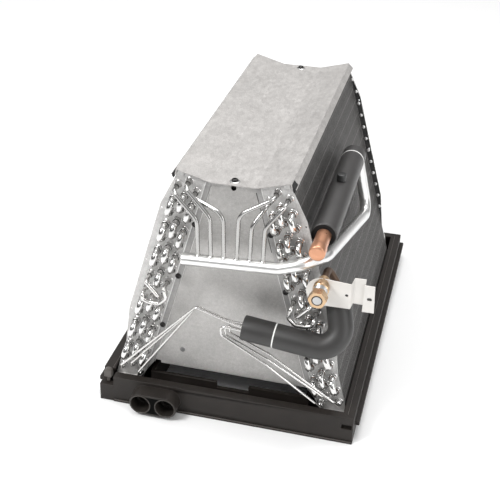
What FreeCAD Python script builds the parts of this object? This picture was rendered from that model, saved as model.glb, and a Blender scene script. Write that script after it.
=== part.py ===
import FreeCAD, Part
import Sketcher
import math
import os

os.makedirs("parts", exist_ok=True)
doc = FreeCAD.newDocument("evaporator")
V = FreeCAD.Vector

# Driving sizes in millimetres and degrees
SIZES = {
    "slab_tilt": 15.5,
    "slab_length": 335.0,
    "slab_thickness": 38.1,
    "slab_foot_gap": 6.675,
    "slab_foot_lift": 24.184,
    "slab_rear_gap": 15.0,
    "fin_ridge": 0.4,
    "fin_ridge_half_width": 1.2,
    "tube_pitch": 20.3,
    "row_one_start": 19.3,
    "row_two_start": 9.2,
    "row_one_inset": 6.35,
    "row_two_inset": 19.05,
    "row_three_inset": 31.75,
    "tube_end_margin": 6.5,
    "tube_radius": 3.5,
    "bend_leg": 7.2,
    "sheet_steel": 1.2,
    "sheet_wing": 8.8,
    "sheet_wing_start": 9.0,
    "sheet_wing_full": 55.0,
    "sheet_wing_end": 106.0,
    "sheet_wing_foot": 52.0,
    "sheet_width": 46.0,
    "sheet_inner_foot": 35.0,
    "sheet_toe": 9.0,
    "sheet_foot_lift": 14.7,
    "sheet_foot_gap": 17.0,
    "wing_hole_inset": 5.6,
    "wing_hole_radius": 1.2,
    "wing_hole_offset": 5.5,
    "plate_gap": 0.5,
    "plate_lift": 13.0,
    "plate_step": 4.0,
    "plate_step_x": 98.0,
    "plate_top_gap": 0.2,
    "plate_notch_half_width": 7.0,
    "plate_notch_depth": 14.0,
    "plate_notch_taper": 2.0,
    "flange_depth": 16.0,
    "screw_inset": 41.8,
    "screw_spacing": 84.0,
    "screw_first": 66.5,
    "screw_head_radius": 3.6,
    "screw_head_height": 2.2,
    "shank_radius": 1.6,
    "shank_length": 6.0,
    "slotted_screw_x": 66.9,
    "slotted_screw_lift": 28.4,
    "slotted_head_radius": 3.0,
    "slotted_head_height": 1.8,
    "hole_clearance": 0.1,
    "cover_front_overhang": 3.4,
    "cover_rear_overhang": 1.8,
    "cover_trough": 29.4,
    "cover_lip": 7.0,
    "cover_screw_front_setback": 6.0,
    "cover_screw_rear_setback": 10.0,
    "cover_screw_radius": 2.0,
    "cover_screw_length": 16.0,
    "cover_screw_head_height": 2.4,
    "washer_radius": 6.0,
    "washer_thickness": 0.8,
    "gasket_width": 9.0,
    "gasket_height": 6.0,
    "gasket_gap": 1.0,
    "gasket_setback": 0.4,
    "pan_half_width": 177.5,
    "pan_half_depth": 260.5,
    "pan_height": 41.0,
    "pan_floor": 9.0,
    "pan_side_wall": 9.0,
    "pan_front_wall": 10.5,
    "pan_rim_side": 15.7,
    "pan_rim_front": 13.0,
    "pan_rim_thickness": 5.0,
    "pan_side_gutter": 70.5,
    "pan_front_gutter": 33.5,
    "pan_rear_gutter": 37.5,
    "pan_inner_wall": 5.0,
    "pan_ledge": 6.0,
    "pan_ledge_start": 16.0,
    "pan_ledge_bottom": 20.0,
    "pan_ledge_top": 26.0,
    "pan_lip": 1.5,
    "pan_lip_height": 3.0,
    "pan_notch_width": 20.0,
    "wall_gap_left": 17.0,
    "wall_gap_right": 28.0,
    "wall_gap_depth": 9.0,
    "front_slot_width": 14.0,
    "front_slot_height": 7.0,
    "front_slot_side": 2.0,
    "front_slot_drop": 18.0,
    "front_slot_depth": 5.0,
    "rib_width": 6.0,
    "rib_spacing": 86.0,
    "rib_overrun": 2.0,
    "port_spacing": 35.2,
    "port_side": 66.3,
    "port_height": 20.0,
    "port_radius": 13.2,
    "port_bore_radius": 10.0,
    "port_thread_depth": 20.0,
    "boss_radius": 15.9,
    "boss_length": 22.0,
    "clip_post_width": 5.0,
    "clip_post_height": 10.0,
    "clip_head_lift": 8.0,
    "clip_head_depth": 8.0,
    "clip_width": 11.0,
    "clip_height": 13.0,
    "clip_shoulder": 7.8,
    "header_radius": 7.95,
    "header_standoff": 32.3,
    "header_left_along": 101.18,
    "header_left_inset": 43.42,
    "header_bend_along": 98.3,
    "header_bend_inset": 31.72,
    "header_side_along": 96.3,
    "header_side_inset": 2.63,
    "header_return_along": 102.07,
    "header_return_off": 23.79,
    "header_return_setback": 2.8,
    "header_corner_along": 180.12,
    "header_corner_off": 18.95,
    "header_first_bend_radius": 30.0,
    "header_side_bend_radius": 20.0,
    "header_return_bend_radius": 24.0,
    "riser_setback": 274.2,
    "feeder_radius": 2.38,
    "feeder_bend_radius": 9.0,
    "feeder_first": 21.4,
    "feeder_spacing": 16.74,
    "feeder_one_drop": 50.6,
    "feeder_two_drop": 45.0,
    "feeder_three_drop": 38.1,
    "feeder_four_drop": 35.1,
    "feeder_five_drop": 48.8,
    "feeder_six_drop": 48.7,
    "feeder_lean": 1.5,
    "feeder_reach": 24.0,
    "feeder_reach_step": 3.0,
    "suction_along": 77.53,
    "suction_off": 23.64,
    "suction_radius": 9.53,
    "suction_wall": 1.1,
    "suction_reach": 41.8,
    "suction_end_gap": 28.0,
    "cap_radius": 10.4,
    "cap_length": 16.0,
    "cap_wall": 1.4,
    "cap_chamfer": 1.2,
    "cap_shoulder": 2.0,
    "foam_radius": 16.8,
    "foam_chamfer": 0.8,
    "foam_start_setback": 5.2,
    "foam_rear_length": 21.0,
    "foam_end_gap": 20.8,
    "tie_width": 1.0,
    "tie_rise": 0.2,
    "port_stem_setback": 131.6,
    "port_stem_radius": 3.2,
    "port_stem_rise": 3.0,
    "port_cap_radius": 6.4,
    "port_cap_height": 9.5,
    "port_cap_gap": 0.4,
    "port_cap_chamfer": 1.0,
    "bracket_standoff": 32.8,
    "bracket_thickness": 1.6,
    "bracket_along": 135.93,
    "bracket_off": 14.92,
    "bracket_round_radius": 19.2,
    "bracket_neck": 37.0,
    "bracket_shoulder": 39.5,
    "bracket_step": 54.0,
    "bracket_step_fold": 55.5,
    "bracket_corner": 65.6,
    "bracket_length": 66.6,
    "bracket_tab_top": 24.8,
    "bracket_end_top": 18.0,
    "bracket_drop": 19.6,
    "bracket_hole_x": 31.6,
    "bracket_hole_radius": 2.2,
    "bracket_slot_x": 59.75,
    "bracket_slot_drop": 1.0,
    "bracket_slot_length": 9.5,
    "bracket_slot_radius": 2.5,
    "fitting_offset_x": 1.4,
    "fitting_offset_z": 12.0,
    "fitting_flats": 21.0,
    "fitting_neck_radius": 7.2,
    "fitting_neck_length": 9.0,
    "fitting_body_length": 19.0,
    "fitting_thread_radius": 8.0,
    "fitting_thread_length": 2.5,
    "nut_flats": 21.0,
    "nut_length": 19.0,
    "plug_radius": 5.4,
    "plug_depth": 8.0,
    "plug_stand": 0.6,
    "liquid_tube_radius": 4.76,
    "liquid_standoff": 39.2,
    "liquid_corner_along": 223.69,
    "liquid_corner_off": 26.38,
    "liquid_run": 131.2,
    "liquid_rise": 15.0,
    "liquid_short_run": 41.1,
    "liquid_foam_radius": 16.4,
    "liquid_bend_radius": 26.0,
    "liquid_entry_bend_radius": 9.0,
    "liquid_top_x": 13.35,
    "liquid_top_setback": 3.24,
    "liquid_top_drop": 23.75,
    "liquid_overrun": 6.0,
    "liquid_entry_setback": 6.2,
    "distributor_radius": 8.4,
    "distributor_length": 30.0,
    "distributor_depth": 3.0,
    "capillary_radius": 1.6,
    "capillary_circle": 5.2,
    "capillary_bend_radius": 5.5,
    "capillary_gap": 0.7,
    "capillary_reach": 24.0,
    "capillary_entry": 11.0,
    "capillary_rise": 15.0,
    "capillary_side": 5.0,
    "left_fan_step": 3.6,
    "left_fan_slope": 0.4,
    "left_fan_start_x": 17.6,
    "left_fan_start_rise": 5.0,
    "left_fan_end_x": 63.3,
    "left_fan_end_y": 2.0,
    "left_fan_end_rise": 18.5,
    "right_fan_step": 4.5,
    "right_fan_flatten": 0.6,
    "right_fan_turn_x": 24.3,
    "right_fan_turn_width": 1.0,
    "right_fan_turn_rise": 1.0,
    "right_fan_turn_drop": 13.0,
    "right_fan_end_x": 33.7,
    "right_fan_end_drop": 43.5,
    "right_fan_end_slope": 1.3,
    "jumper_standoff": 25.0,
    "jumper_bend_radius": 4.5,
    "jumper_drop": 8.0,
    "jumper_shift": 3.0,
    "jumper_entry": 9.0,
    "loop_near_along": 7.1,
    "loop_near_inset": 9.6,
    "loop_low_along": 7.95,
    "loop_low_inset": 18.14,
    "loop_turn_along": 4.07,
    "loop_turn_inset": 32.11,
    "loop_back_along": 7.72,
    "loop_back_inset": 38.7,
}
sheet = doc.addObject("Spreadsheet::Sheet", "Sizes")
for row, (alias, value) in enumerate(SIZES.items(), start=1):
    sheet.set(f"A{row}", alias)
    sheet.set(f"B{row}", str(value))
    sheet.setAlias(f"B{row}", alias)
doc.recompute()


def size(alias):
    return float(getattr(sheet, alias))


# Modelling helpers
def new_body(label, at=V(0, 0, 0)):
    body = doc.addObject("PartDesign::Body", label)
    body.Label = label
    body.Placement = FreeCAD.Placement(at, FreeCAD.Rotation())
    return body


def origin_plane(body, role):
    return [f for f in body.Origin.OriginFeatures if f.Role == role][0]


def outline(sketch, points):
    """Closed loop of straight edges; a point given as (mid, end) adds an arc."""
    ends = [p[1] if isinstance(p[0], tuple) else p for p in points]
    start = ends[-1]
    for point, end in zip(points, ends):
        a, b = V(*start, 0), V(*end, 0)
        if isinstance(point[0], tuple):
            sketch.addGeometry(Part.Arc(a, V(*point[0], 0), b), False)
        else:
            sketch.addGeometry(Part.LineSegment(a, b), False)
        start = end
    first = sketch.GeometryCount - len(points)
    for i in range(len(points)):
        j = (i + 1) % len(points)
        sketch.addConstraint(Sketcher.Constraint("Coincident", first + i, 2, first + j, 1))


def ring(sketch, x, y, radius):
    sketch.addGeometry(Part.Circle(V(x, y, 0), V(0, 0, 1), radius), False)


def new_sketch(body, name, role, offset, loops=(), rings=()):
    sketch = body.newObject("Sketcher::SketchObject", name)
    sketch.AttachmentSupport = [(origin_plane(body, role), "")]
    sketch.MapMode = "FlatFace"
    sketch.AttachmentOffset = FreeCAD.Placement(V(0, 0, offset), FreeCAD.Rotation())
    for loop in loops:
        outline(sketch, loop)
    for x, y, radius in rings:
        ring(sketch, x, y, radius)
    return sketch


def pad(body, sketch, length, backwards=False):
    feature = body.newObject("PartDesign::Pad", sketch.Name + "_pad")
    feature.Profile = sketch
    if isinstance(length, str):
        feature.setExpression("Length", length)
    else:
        feature.Length = length
    feature.Reversed = backwards
    sketch.Visibility = False
    body.Tip = feature
    return feature


def pocket(body, sketch, length, backwards=False):
    feature = body.newObject("PartDesign::Pocket", sketch.Name + "_pocket")
    feature.Profile = sketch
    if isinstance(length, str):
        feature.setExpression("Length", length)
    else:
        feature.Length = length
    feature.Reversed = backwards
    sketch.Visibility = False
    body.Tip = feature
    return feature


def revolve(body, sketch):
    feature = body.newObject("PartDesign::Revolution", sketch.Name + "_turn")
    feature.Profile = sketch
    feature.ReferenceAxis = (sketch, ["V_Axis"])
    feature.Angle = 360
    sketch.Visibility = False
    body.Tip = feature
    return feature


def feature(label, shape):
    part = doc.addObject("Part::Feature", label)
    part.Label = label
    part.Shape = shape
    part.Placement = FreeCAD.Placement()
    return part


def rectangle(x0, y0, x1, y1):
    return [(x0, y0), (x1, y0), (x1, y1), (x0, y1)]


def rounded_route(points, radius, chords):
    """Replaces each corner of a route by an arc drawn as a few chords."""
    route = [points[0]]
    for before, corner, after in zip(points, points[1:], points[2:]):
        a = (before - corner).normalize()
        b = (after - corner).normalize()
        turn = math.pi - a.getAngle(b)
        if turn < 0.02:
            route.append(corner)
            continue
        reach = radius * math.tan(turn / 2)
        start, end = corner + a * reach, corner + b * reach
        centre = corner + (a + b).normalize() * (radius / math.cos(turn / 2))
        u = (start - centre).normalize()
        w = (end - centre) - u * (end - centre).dot(u)
        w.normalize()
        count = max(1, math.ceil(chords * turn / (math.pi / 2) - 0.01))
        outer = radius / math.cos(turn / count / 4)
        route.append(start)
        for i in range(count):
            angle = turn * (i + 0.5) / count
            spot = centre + (u * math.cos(angle) + w * math.sin(angle)) * outer
            if count > 1 or turn > 0.3:
                route.append(spot)
        route.append(end)
    route.append(points[-1])
    return route


def faceted_tube(route, radius, sides, start_up=V(0, 0, 1)):
    """Solid of flat facets swept along a route, mitred at each corner."""
    heading = (route[1] - route[0]).normalize()
    across = heading.cross(start_up)
    if across.Length < 0.1:
        across = heading.cross(V(1, 0, 0))
    across.normalize()
    up = across.cross(heading).normalize()
    outer = radius / math.sqrt(math.cos(math.pi / sides))
    section = []
    for i in range(sides):
        angle = 2 * math.pi * (i + 0.5) / sides
        section.append(route[0] + (across * math.cos(angle) + up * math.sin(angle)) * outer)
    faces = [Part.Face(Part.makePolygon(section + section[:1]))]
    for i in range(1, len(route)):
        if i < len(route) - 1:
            onward = (route[i + 1] - route[i]).normalize()
        else:
            onward = heading
        normal = (heading + onward).normalize()
        following = []
        for p in section:
            travel = (route[i] - p).dot(normal) / heading.dot(normal)
            following.append(p + heading * travel)
        for j in range(sides):
            n = (j + 1) % sides
            quad = [section[j], section[n], following[n], following[j], section[j]]
            faces.append(Part.Face(Part.makePolygon(quad)))
        section = following
        heading = onward
    faces.append(Part.Face(Part.makePolygon(section + section[:1])))
    solid = Part.makeSolid(Part.makeShell(faces))
    if solid.Volume < 0:
        solid.reverse()
    return solid


def smooth_wire(points, radii):
    """Route of straight lines and true arcs, one radius for each corner."""
    edges = []
    start = points[0]
    for before, corner, after, radius in zip(points, points[1:], points[2:], radii):
        a = (before - corner).normalize()
        b = (after - corner).normalize()
        turn = math.pi - a.getAngle(b)
        reach = radius * math.tan(turn / 2)
        first, last = corner + a * reach, corner + b * reach
        centre = corner + (a + b).normalize() * (radius / math.cos(turn / 2))
        middle = centre + (corner - centre).normalize() * radius
        edges.append(Part.makeLine(start, first))
        edges.append(Part.Arc(first, middle, last).toShape())
        start = last
    edges.append(Part.makeLine(start, points[-1]))
    return Part.Wire(edges)


def round_pipe(points, radii, radius, bore=0.0):
    wire = smooth_wire(points, radii)
    heading = points[1] - points[0]
    pipe = wire.makePipe(Part.Face(Part.Wire(Part.makeCircle(radius, points[0], heading))))
    if bore:
        hollow = Part.Face(Part.Wire(Part.makeCircle(bore, points[0], heading)))
        pipe = pipe.cut(wire.makePipe(hollow))
    return pipe.Solids[0] if pipe.Solids else pipe


def largest(shape):
    return max(shape.Solids, key=lambda solid: solid.Volume)


def offset_by(centre, *offsets):
    return [(centre[0] + x, centre[1] + z) for x, z in offsets]


SIDES = (("left", -1), ("right", 1))

# Main places: the slabs stand in the pan, and all else goes by them
half_w = size("pan_half_width")
half_d = size("pan_half_depth")
floor_z = size("pan_floor")
well_x = half_w - size("pan_side_wall")
well_y = half_d - size("pan_front_wall")
front_y = -half_d + size("pan_front_gutter")
hole_rear = half_d - size("pan_rear_gutter")
rear_y = hole_rear - size("slab_rear_gap")
steel = size("sheet_steel")
front_outer = front_y - steel
rear_outer = rear_y + steel
tilt = math.radians(size("slab_tilt"))
slab_length = size("slab_length")
slab_thick = size("slab_thickness")
top_x = well_x - size("slab_foot_gap") - slab_length * math.sin(tilt)
top_z = floor_z + size("slab_foot_lift") + slab_length * math.cos(tilt)


def slab_point(along, inset, side):
    """Point of a slab's end face: along its slope from the top, inset from its outer face."""
    x = top_x + along * math.sin(tilt) - inset * math.cos(tilt)
    z = top_z - along * math.cos(tilt) - inset * math.sin(tilt)
    return side * x, z


def beside_slab(along, inset, y, side=1):
    x, z = slab_point(along, inset, side)
    return V(x, y, z)

# Drain pan
pan_top = size("pan_height")
rim_z = pan_top - size("pan_rim_thickness")
mouth_x = half_w - size("pan_rim_side")
mouth_y = half_d - size("pan_rim_front")
hole_x = half_w - size("pan_side_gutter")
hole_front = front_y
wall = size("pan_inner_wall")
around_hole = rectangle(-hole_x - wall, hole_front - wall, hole_x + wall, hole_rear + wall)
hole = rectangle(-hole_x, hole_front, hole_x, hole_rear)
pan_outline = rectangle(-half_w, -half_d, half_w, half_d)

pan = new_body("drain_pan")
base = new_sketch(pan, "pan_base", "XY_Plane", 0, [pan_outline, hole])
pad(pan, base, "Sizes.pan_floor")
walls = new_sketch(
    pan, "pan_walls", "XY_Plane", floor_z, [pan_outline, rectangle(-well_x, -well_y, well_x, well_y)]
)
pad(pan, walls, "Sizes.pan_height - Sizes.pan_floor - Sizes.pan_rim_thickness")
rim = new_sketch(
    pan, "pan_rim", "XY_Plane", rim_z, [pan_outline, rectangle(-mouth_x, -mouth_y, mouth_x, mouth_y)]
)
pad(pan, rim, "Sizes.pan_rim_thickness")
collar = new_sketch(pan, "pan_inner_wall", "XY_Plane", floor_z, [around_hole, hole])
pad(pan, collar, "Sizes.pan_height - Sizes.pan_floor")
for name, side in SIDES:
    x0 = side * half_w
    x1 = side * (half_w + size("pan_ledge"))
    ledge_loop = rectangle(min(x0, x1), -half_d + size("pan_ledge_start"), max(x0, x1), half_d)
    ledge = new_sketch(pan, f"pan_ledge_{name}", "XY_Plane", size("pan_ledge_bottom"), [ledge_loop])
    pad(pan, ledge, "Sizes.pan_ledge_top - Sizes.pan_ledge_bottom")
foot = slab_point(slab_length, 0, 1)
heel = slab_point(slab_length, slab_thick, 1)
slope = (foot[1] - heel[1]) / (foot[0] - heel[0])
RIBS = 5
for name, side in SIDES:
    x0 = hole_x + wall
    x1 = foot[0] + size("rib_overrun")
    rib_loop = [
        (side * x0, floor_z),
        (side * x1, floor_z),
        (side * x1, foot[1] + (x1 - foot[0]) * slope),
        (side * heel[0], heel[1]),
        (side * x0, heel[1] + (x0 - heel[0]) * slope),
    ]
    for i in range(RIBS):
        y = (front_y + rear_y) / 2 + (i - (RIBS - 1) / 2) * size("rib_spacing")
        rib = new_sketch(pan, f"rib_{name}_{i}", "XZ_Plane", -y, [rib_loop])
        pad(pan, rib, "Sizes.rib_width")
front_lip = rectangle(-half_w + size("pan_notch_width"), -half_d - size("pan_lip"), half_w, -half_d)
lip = new_sketch(pan, "pan_lip", "XY_Plane", 0, [front_lip])
pad(pan, lip, "Sizes.pan_lip_height")
port_x = -half_w + size("port_side")
port_gap = size("port_spacing")
port_z = size("port_height")
boss_r = size("boss_radius")
boss_loop = [
    (port_x + port_gap, port_z - boss_r),
    ((port_x + port_gap + boss_r, port_z), (port_x + port_gap, port_z + boss_r)),
    (port_x, port_z + boss_r),
    ((port_x - boss_r, port_z), (port_x, port_z - boss_r)),
]
boss = new_sketch(pan, "drain_boss", "XZ_Plane", half_d, [boss_loop])
pad(pan, boss, "Sizes.boss_length")
boss_face = half_d + size("boss_length")
ports = [(port_x, port_z), (port_x + port_gap, port_z)]
mouths = new_sketch(
    pan, "drain_mouths", "XZ_Plane", boss_face, rings=[(x, z, size("port_radius")) for x, z in ports]
)
pocket(pan, mouths, "Sizes.port_thread_depth")
bores = new_sketch(
    pan, "drain_bores", "XZ_Plane", boss_face, rings=[(x, z, size("port_bore_radius")) for x, z in ports]
)
pocket(pan, bores, "Sizes.boss_length + Sizes.pan_front_wall + 1")
notch_w = size("pan_notch_width")
notch_loop = rectangle(-half_w - 1, -half_d - 1, -half_w + notch_w, -half_d + notch_w)
notch = new_sketch(pan, "pan_corner_notch", "XY_Plane", size("pan_height"), [notch_loop])
pocket(pan, notch, "Sizes.pan_height - Sizes.pan_ledge_top")
gap_bottom = pan_top - size("wall_gap_depth")
gap_loop = rectangle(-size("wall_gap_left"), gap_bottom, size("wall_gap_right"), pan_top + 1)
gap = new_sketch(pan, "inner_wall_gap", "XZ_Plane", -hole_front + wall + 1, [gap_loop])
pocket(pan, gap, "Sizes.pan_inner_wall + 2")
slot_right = half_w - size("front_slot_side")
slot_low = pan_top - size("front_slot_drop")
slot_loop = rectangle(
    slot_right - size("front_slot_width"), slot_low, slot_right, slot_low + size("front_slot_height")
)
slot = new_sketch(pan, "front_slot", "XZ_Plane", half_d, [slot_loop])
pocket(pan, slot, "Sizes.front_slot_depth")

# Clip standing in the notch of the pan
clip_half = size("clip_width") / 2
post_half = size("clip_post_width") / 2
clip_low = size("clip_head_lift")
clip_mid = clip_low + size("clip_shoulder")
clip_peak = clip_low + size("clip_height")
clip_place = V(-half_w + notch_w / 2, -half_d + notch_w / 2, size("pan_ledge_top"))
clip = new_body("pan_clip", clip_place)
post = new_sketch(clip, "clip_post", "XY_Plane", 0, [rectangle(-post_half, -post_half, post_half, post_half)])
pad(clip, post, "Sizes.clip_post_height")
clip_loop = [
    (-clip_half, clip_low),
    (clip_half, clip_low),
    (clip_half, clip_mid),
    ((0, clip_peak), (-clip_half, clip_mid)),
]
clip_head = new_sketch(clip, "clip_head", "XZ_Plane", -size("clip_head_depth") / 2, [clip_loop])
pad(clip, clip_head, "Sizes.clip_head_depth")

# Fin packs of the two slabs, with a low ridge over each tube
pitch = size("tube_pitch")
tube_r = size("tube_radius")
tube_room = slab_length - size("row_one_start") - tube_r - size("tube_end_margin")
per_row = 2 * ((int(tube_room / pitch) + 1) // 2)
ridge = size("fin_ridge")
ridge_half = size("fin_ridge_half_width")


def ridge_points(inset, height, side):
    points = []
    for k in range(per_row):
        s = size("row_one_start") + k * pitch
        points.append(slab_point(s - ridge_half, inset, side))
        points.append(slab_point(s, inset + height, side))
        points.append(slab_point(s + ridge_half, inset, side))
    return points


for name, side in SIDES:
    loop = [slab_point(0, 0, side)]
    loop += ridge_points(0, -ridge, side)
    loop += [slab_point(slab_length, 0, side), slab_point(slab_length, slab_thick, side)]
    loop += reversed(ridge_points(slab_thick, ridge, side))
    loop.append(slab_point(0, slab_thick, side))
    pack = new_body(f"{name}_fin_pack")
    section = new_sketch(pack, f"{name}_fin_section", "XZ_Plane", -front_y, [loop])
    pad(pack, section, rear_y - front_y, True)

# Places of the screws that join tube sheets and delta plates
screw_inset = size("screw_inset")
screw_along = [size("screw_first") + i * size("screw_spacing") for i in range(3)]
shank_hole = size("shank_radius") + size("hole_clearance")


def screw_spots(side):
    return [slab_point(s, screw_inset, side) for s in screw_along]


# Tube sheets
sheet_edge = size("sheet_width")
wing = -size("sheet_wing")
sheet_foot_z = floor_z + size("sheet_foot_lift")
sheet_foot_x = hole_x + wall + size("sheet_foot_gap")
wing_holes = [s - size("wing_hole_offset") for s in screw_along]
for end, sketch_at in (("front", -front_outer), ("rear", -rear_y)):
    for name, side in SIDES:
        toe = slab_point(slab_length + size("sheet_toe"), 0, side)
        loop = [
            slab_point(0, 0, side),
            slab_point(size("sheet_wing_start"), 0, side),
            slab_point(size("sheet_wing_full"), wing, side),
            slab_point(slab_length - size("sheet_wing_end"), wing, side),
            slab_point(slab_length - size("sheet_wing_foot"), 0, side),
            (toe[0], sheet_foot_z),
            (side * sheet_foot_x, sheet_foot_z),
            slab_point(slab_length - size("sheet_inner_foot"), sheet_edge, side),
            slab_point(0, sheet_edge, side),
        ]
        plate = new_body(f"{name}_{end}_tube_sheet")
        blank = new_sketch(plate, f"{name}_{end}_sheet_blank", "XZ_Plane", sketch_at, [loop])
        pad(plate, blank, "Sizes.sheet_steel", True)
        holes = [(x, z, shank_hole) for x, z in screw_spots(side)]
        for s in wing_holes:
            holes.append(slab_point(s, -size("wing_hole_inset"), side) + (size("wing_hole_radius"),))
        drilled = new_sketch(plate, f"{name}_{end}_sheet_holes", "XZ_Plane", sketch_at, rings=holes)
        pocket(plate, drilled, "Sizes.sheet_steel")

# Delta plates that close the space between the slabs
plate_inset = slab_thick + size("plate_gap")
bottom_z = pan_top + size("plate_lift")
trough = size("cover_trough")
inner_top = slab_point(0, slab_thick, 1)
trough_z = inner_top[1] - (inner_top[0] - trough) * math.tan(tilt)
plate_top = trough_z - size("plate_top_gap")
cover_hole_r = size("cover_screw_radius") + 2 * size("hole_clearance")
cover_screw_y = {
    "front": front_y + size("cover_screw_front_setback"),
    "rear": rear_y - size("cover_screw_rear_setback"),
}
slotted = (-size("slotted_screw_x"), bottom_z + size("slotted_screw_lift"))
step_z = bottom_z + size("plate_step")
notch_half = size("plate_notch_half_width")
notch_low = plate_top - size("plate_notch_depth")
notch_foot = notch_half - size("plate_notch_taper")


def plate_edge(z):
    s = (top_z - z - plate_inset * math.sin(tilt)) / math.cos(tilt)
    return slab_point(s, plate_inset, 1)[0]


for end, y0, direction in (("front", front_y, 1), ("rear", rear_y, -1)):
    loop = [(-plate_edge(bottom_z), bottom_z), (plate_edge(bottom_z), bottom_z)]
    if end == "front":
        loop = [
            (-plate_edge(step_z), step_z),
            (-size("plate_step_x"), step_z),
            (-size("plate_step_x"), bottom_z),
            (plate_edge(bottom_z), bottom_z),
        ]
    loop += [
        (plate_edge(plate_top - 1), plate_top - 1),
        (trough - 1, plate_top),
        (notch_half, plate_top),
        (notch_foot, notch_low),
        (-notch_foot, notch_low),
        (-notch_half, plate_top),
        (-trough + 1, plate_top),
        (-plate_edge(plate_top - 1), plate_top - 1),
    ]
    delta = new_body(f"{end}_delta_plate")
    blank = new_sketch(delta, f"{end}_delta_blank", "XZ_Plane", -y0, [loop])
    pad(delta, blank, "Sizes.sheet_steel", direction > 0)
    y1 = y0 + direction * size("flange_depth")
    flange_loop = rectangle(-trough + 1, min(y0, y1), trough - 1, max(y0, y1))
    flange = new_sketch(delta, f"{end}_delta_flange", "XY_Plane", plate_top, [flange_loop])
    pad(delta, flange, "Sizes.sheet_steel", True)
    holes = [(x, z, shank_hole) for name, side in SIDES for x, z in screw_spots(side)]
    if end == "front":
        holes.append(slotted + (shank_hole,))
    drilled = new_sketch(delta, f"{end}_delta_holes", "XZ_Plane", -y0, rings=holes)
    pocket(delta, drilled, "Sizes.sheet_steel", direction < 0)
    seat = new_sketch(
        delta, f"{end}_flange_hole", "XY_Plane", plate_top, rings=[(0, cover_screw_y[end], cover_hole_r)]
    )
    pocket(delta, seat, "Sizes.sheet_steel")

# Top cover: trough between two wings, with narrow folded lips
cover_front = front_outer - size("cover_front_overhang")
cover_rear = rear_outer + size("cover_rear_overhang")
lip_drop = size("cover_lip")
outer_lip = slab_point(0, -steel, 1)
rise = steel / math.cos(tilt)
under = [(trough, trough_z), slab_point(0, 0, 1), slab_point(lip_drop, 0, 1)]
over = [
    slab_point(lip_drop, -steel, 1),
    (outer_lip[0] + rise * math.sin(tilt), outer_lip[1] + steel),
    (trough, trough_z + rise),
]
loop = under + over
loop += [(-x, z) for x, z in reversed(over)]
loop += [(-x, z) for x, z in reversed(under)]
cover = new_body("top_cover")
fold = new_sketch(cover, "cover_fold", "XZ_Plane", -cover_front, [loop])
pad(cover, fold, cover_rear - cover_front, True)
cover_holes = new_sketch(
    cover, "cover_holes", "XY_Plane", trough_z + 2 * rise,
    rings=[(0, y, cover_hole_r) for y in cover_screw_y.values()],
)
pocket(cover, cover_holes, 3 * rise)

# Screws and washers on the cover
cover_top = trough_z + rise
washers = []
screws = []
screw_length = size("cover_screw_length")
for y in cover_screw_y.values():
    washer = Part.makeCylinder(size("washer_radius"), size("washer_thickness"), V(0, y, cover_top))
    washers.append(washer.cut(Part.makeCylinder(cover_hole_r, 4, V(0, y, cover_top - 1))))
    head_z = cover_top + size("washer_thickness")
    head = Part.makeCylinder(size("screw_head_radius"), size("cover_screw_head_height"), V(0, y, head_z))
    shank = Part.makeCylinder(size("cover_screw_radius"), screw_length, V(0, y, head_z - screw_length))
    head = head.fuse(shank)
    screws.append(head.removeSplitter())
feature("cover_washers", Part.makeCompound(washers))
feature("cover_screws", Part.makeCompound(screws))

# Gasket blocks under the front corners of the cover
gasket_front = cover_front + size("gasket_setback")
gasket_near = size("gasket_gap")
gasket_far = gasket_near + size("gasket_width")
gasket_low = size("gasket_height")
for name, side in SIDES:
    block = new_body(f"{name}_cover_gasket")
    loop = [
        slab_point(0, gasket_near, side),
        slab_point(0, gasket_far, side),
        slab_point(gasket_low, gasket_far, side),
        slab_point(gasket_low, gasket_near, side),
    ]
    shape = new_sketch(block, f"{name}_gasket_section", "XZ_Plane", -gasket_front, [loop])
    pad(block, shape, front_outer - gasket_front, True)


# Screws on the delta plates
def screw(x, z, y, direction, radius, height, shank):
    axis = V(0, direction, 0)
    head = Part.makeCylinder(radius, height, V(x, y, z), axis)
    body = Part.makeCylinder(size("shank_radius"), shank + 0.5, V(x, y + direction * 0.5, z), axis * -1)
    return head.fuse(body).removeSplitter()


head_r = size("screw_head_radius")
head_h = size("screw_head_height")
shank_l = size("shank_length")
front_screws = []
rear_screws = []
for name, side in SIDES:
    for x, z in screw_spots(side):
        front_screws.append(screw(x, z, front_outer, -1, head_r, head_h, shank_l))
        rear_screws.append(screw(x, z, rear_outer, 1, head_r, head_h, shank_l))
slotted_r = size("slotted_head_radius")
front_screws.append(screw(*slotted, front_y, -1, slotted_r, size("slotted_head_height"), shank_l))
feature("front_delta_screws", Part.makeCompound(front_screws))
feature("rear_delta_screws", Part.makeCompound(rear_screws))

# Return bends and hairpin ends of the tubes, butted against the tube sheets
ROWS = {
    "outer": (size("row_one_start"), size("row_one_inset")),
    "middle": (size("row_two_start"), size("row_two_inset")),
    "inner": (size("row_one_start"), size("row_three_inset")),
}


def tube_spot(row, k, side):
    start, inset = ROWS[row]
    return slab_point(start + k * pitch, inset, side)


def u_bend(row, k, side, y, direction, chords):
    x0, z0 = tube_spot(row, k, side)
    x1, z1 = tube_spot(row, k + 1, side)
    tip = y + direction * size("bend_leg")
    a, b = V(x0, y, z0), V(x1, y, z1)
    across = b - a
    centre = V((x0 + x1) / 2, tip, (z0 + z1) / 2)
    radius = across.Length / 2
    outer = radius / math.cos(math.pi / chords / 4)
    side_way = (a - V(centre.x, y, centre.z)).normalize()
    route = [a, a + V(0, tip - y, 0)]
    for i in range(chords):
        angle = math.pi * (i + 0.5) / chords
        route.append(centre + (side_way * math.cos(angle) + V(0, direction, 0) * math.sin(angle)) * outer)
    route += [b + V(0, tip - y, 0), b]
    return faceted_tube(route, tube_r, 6, side_way)


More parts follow.
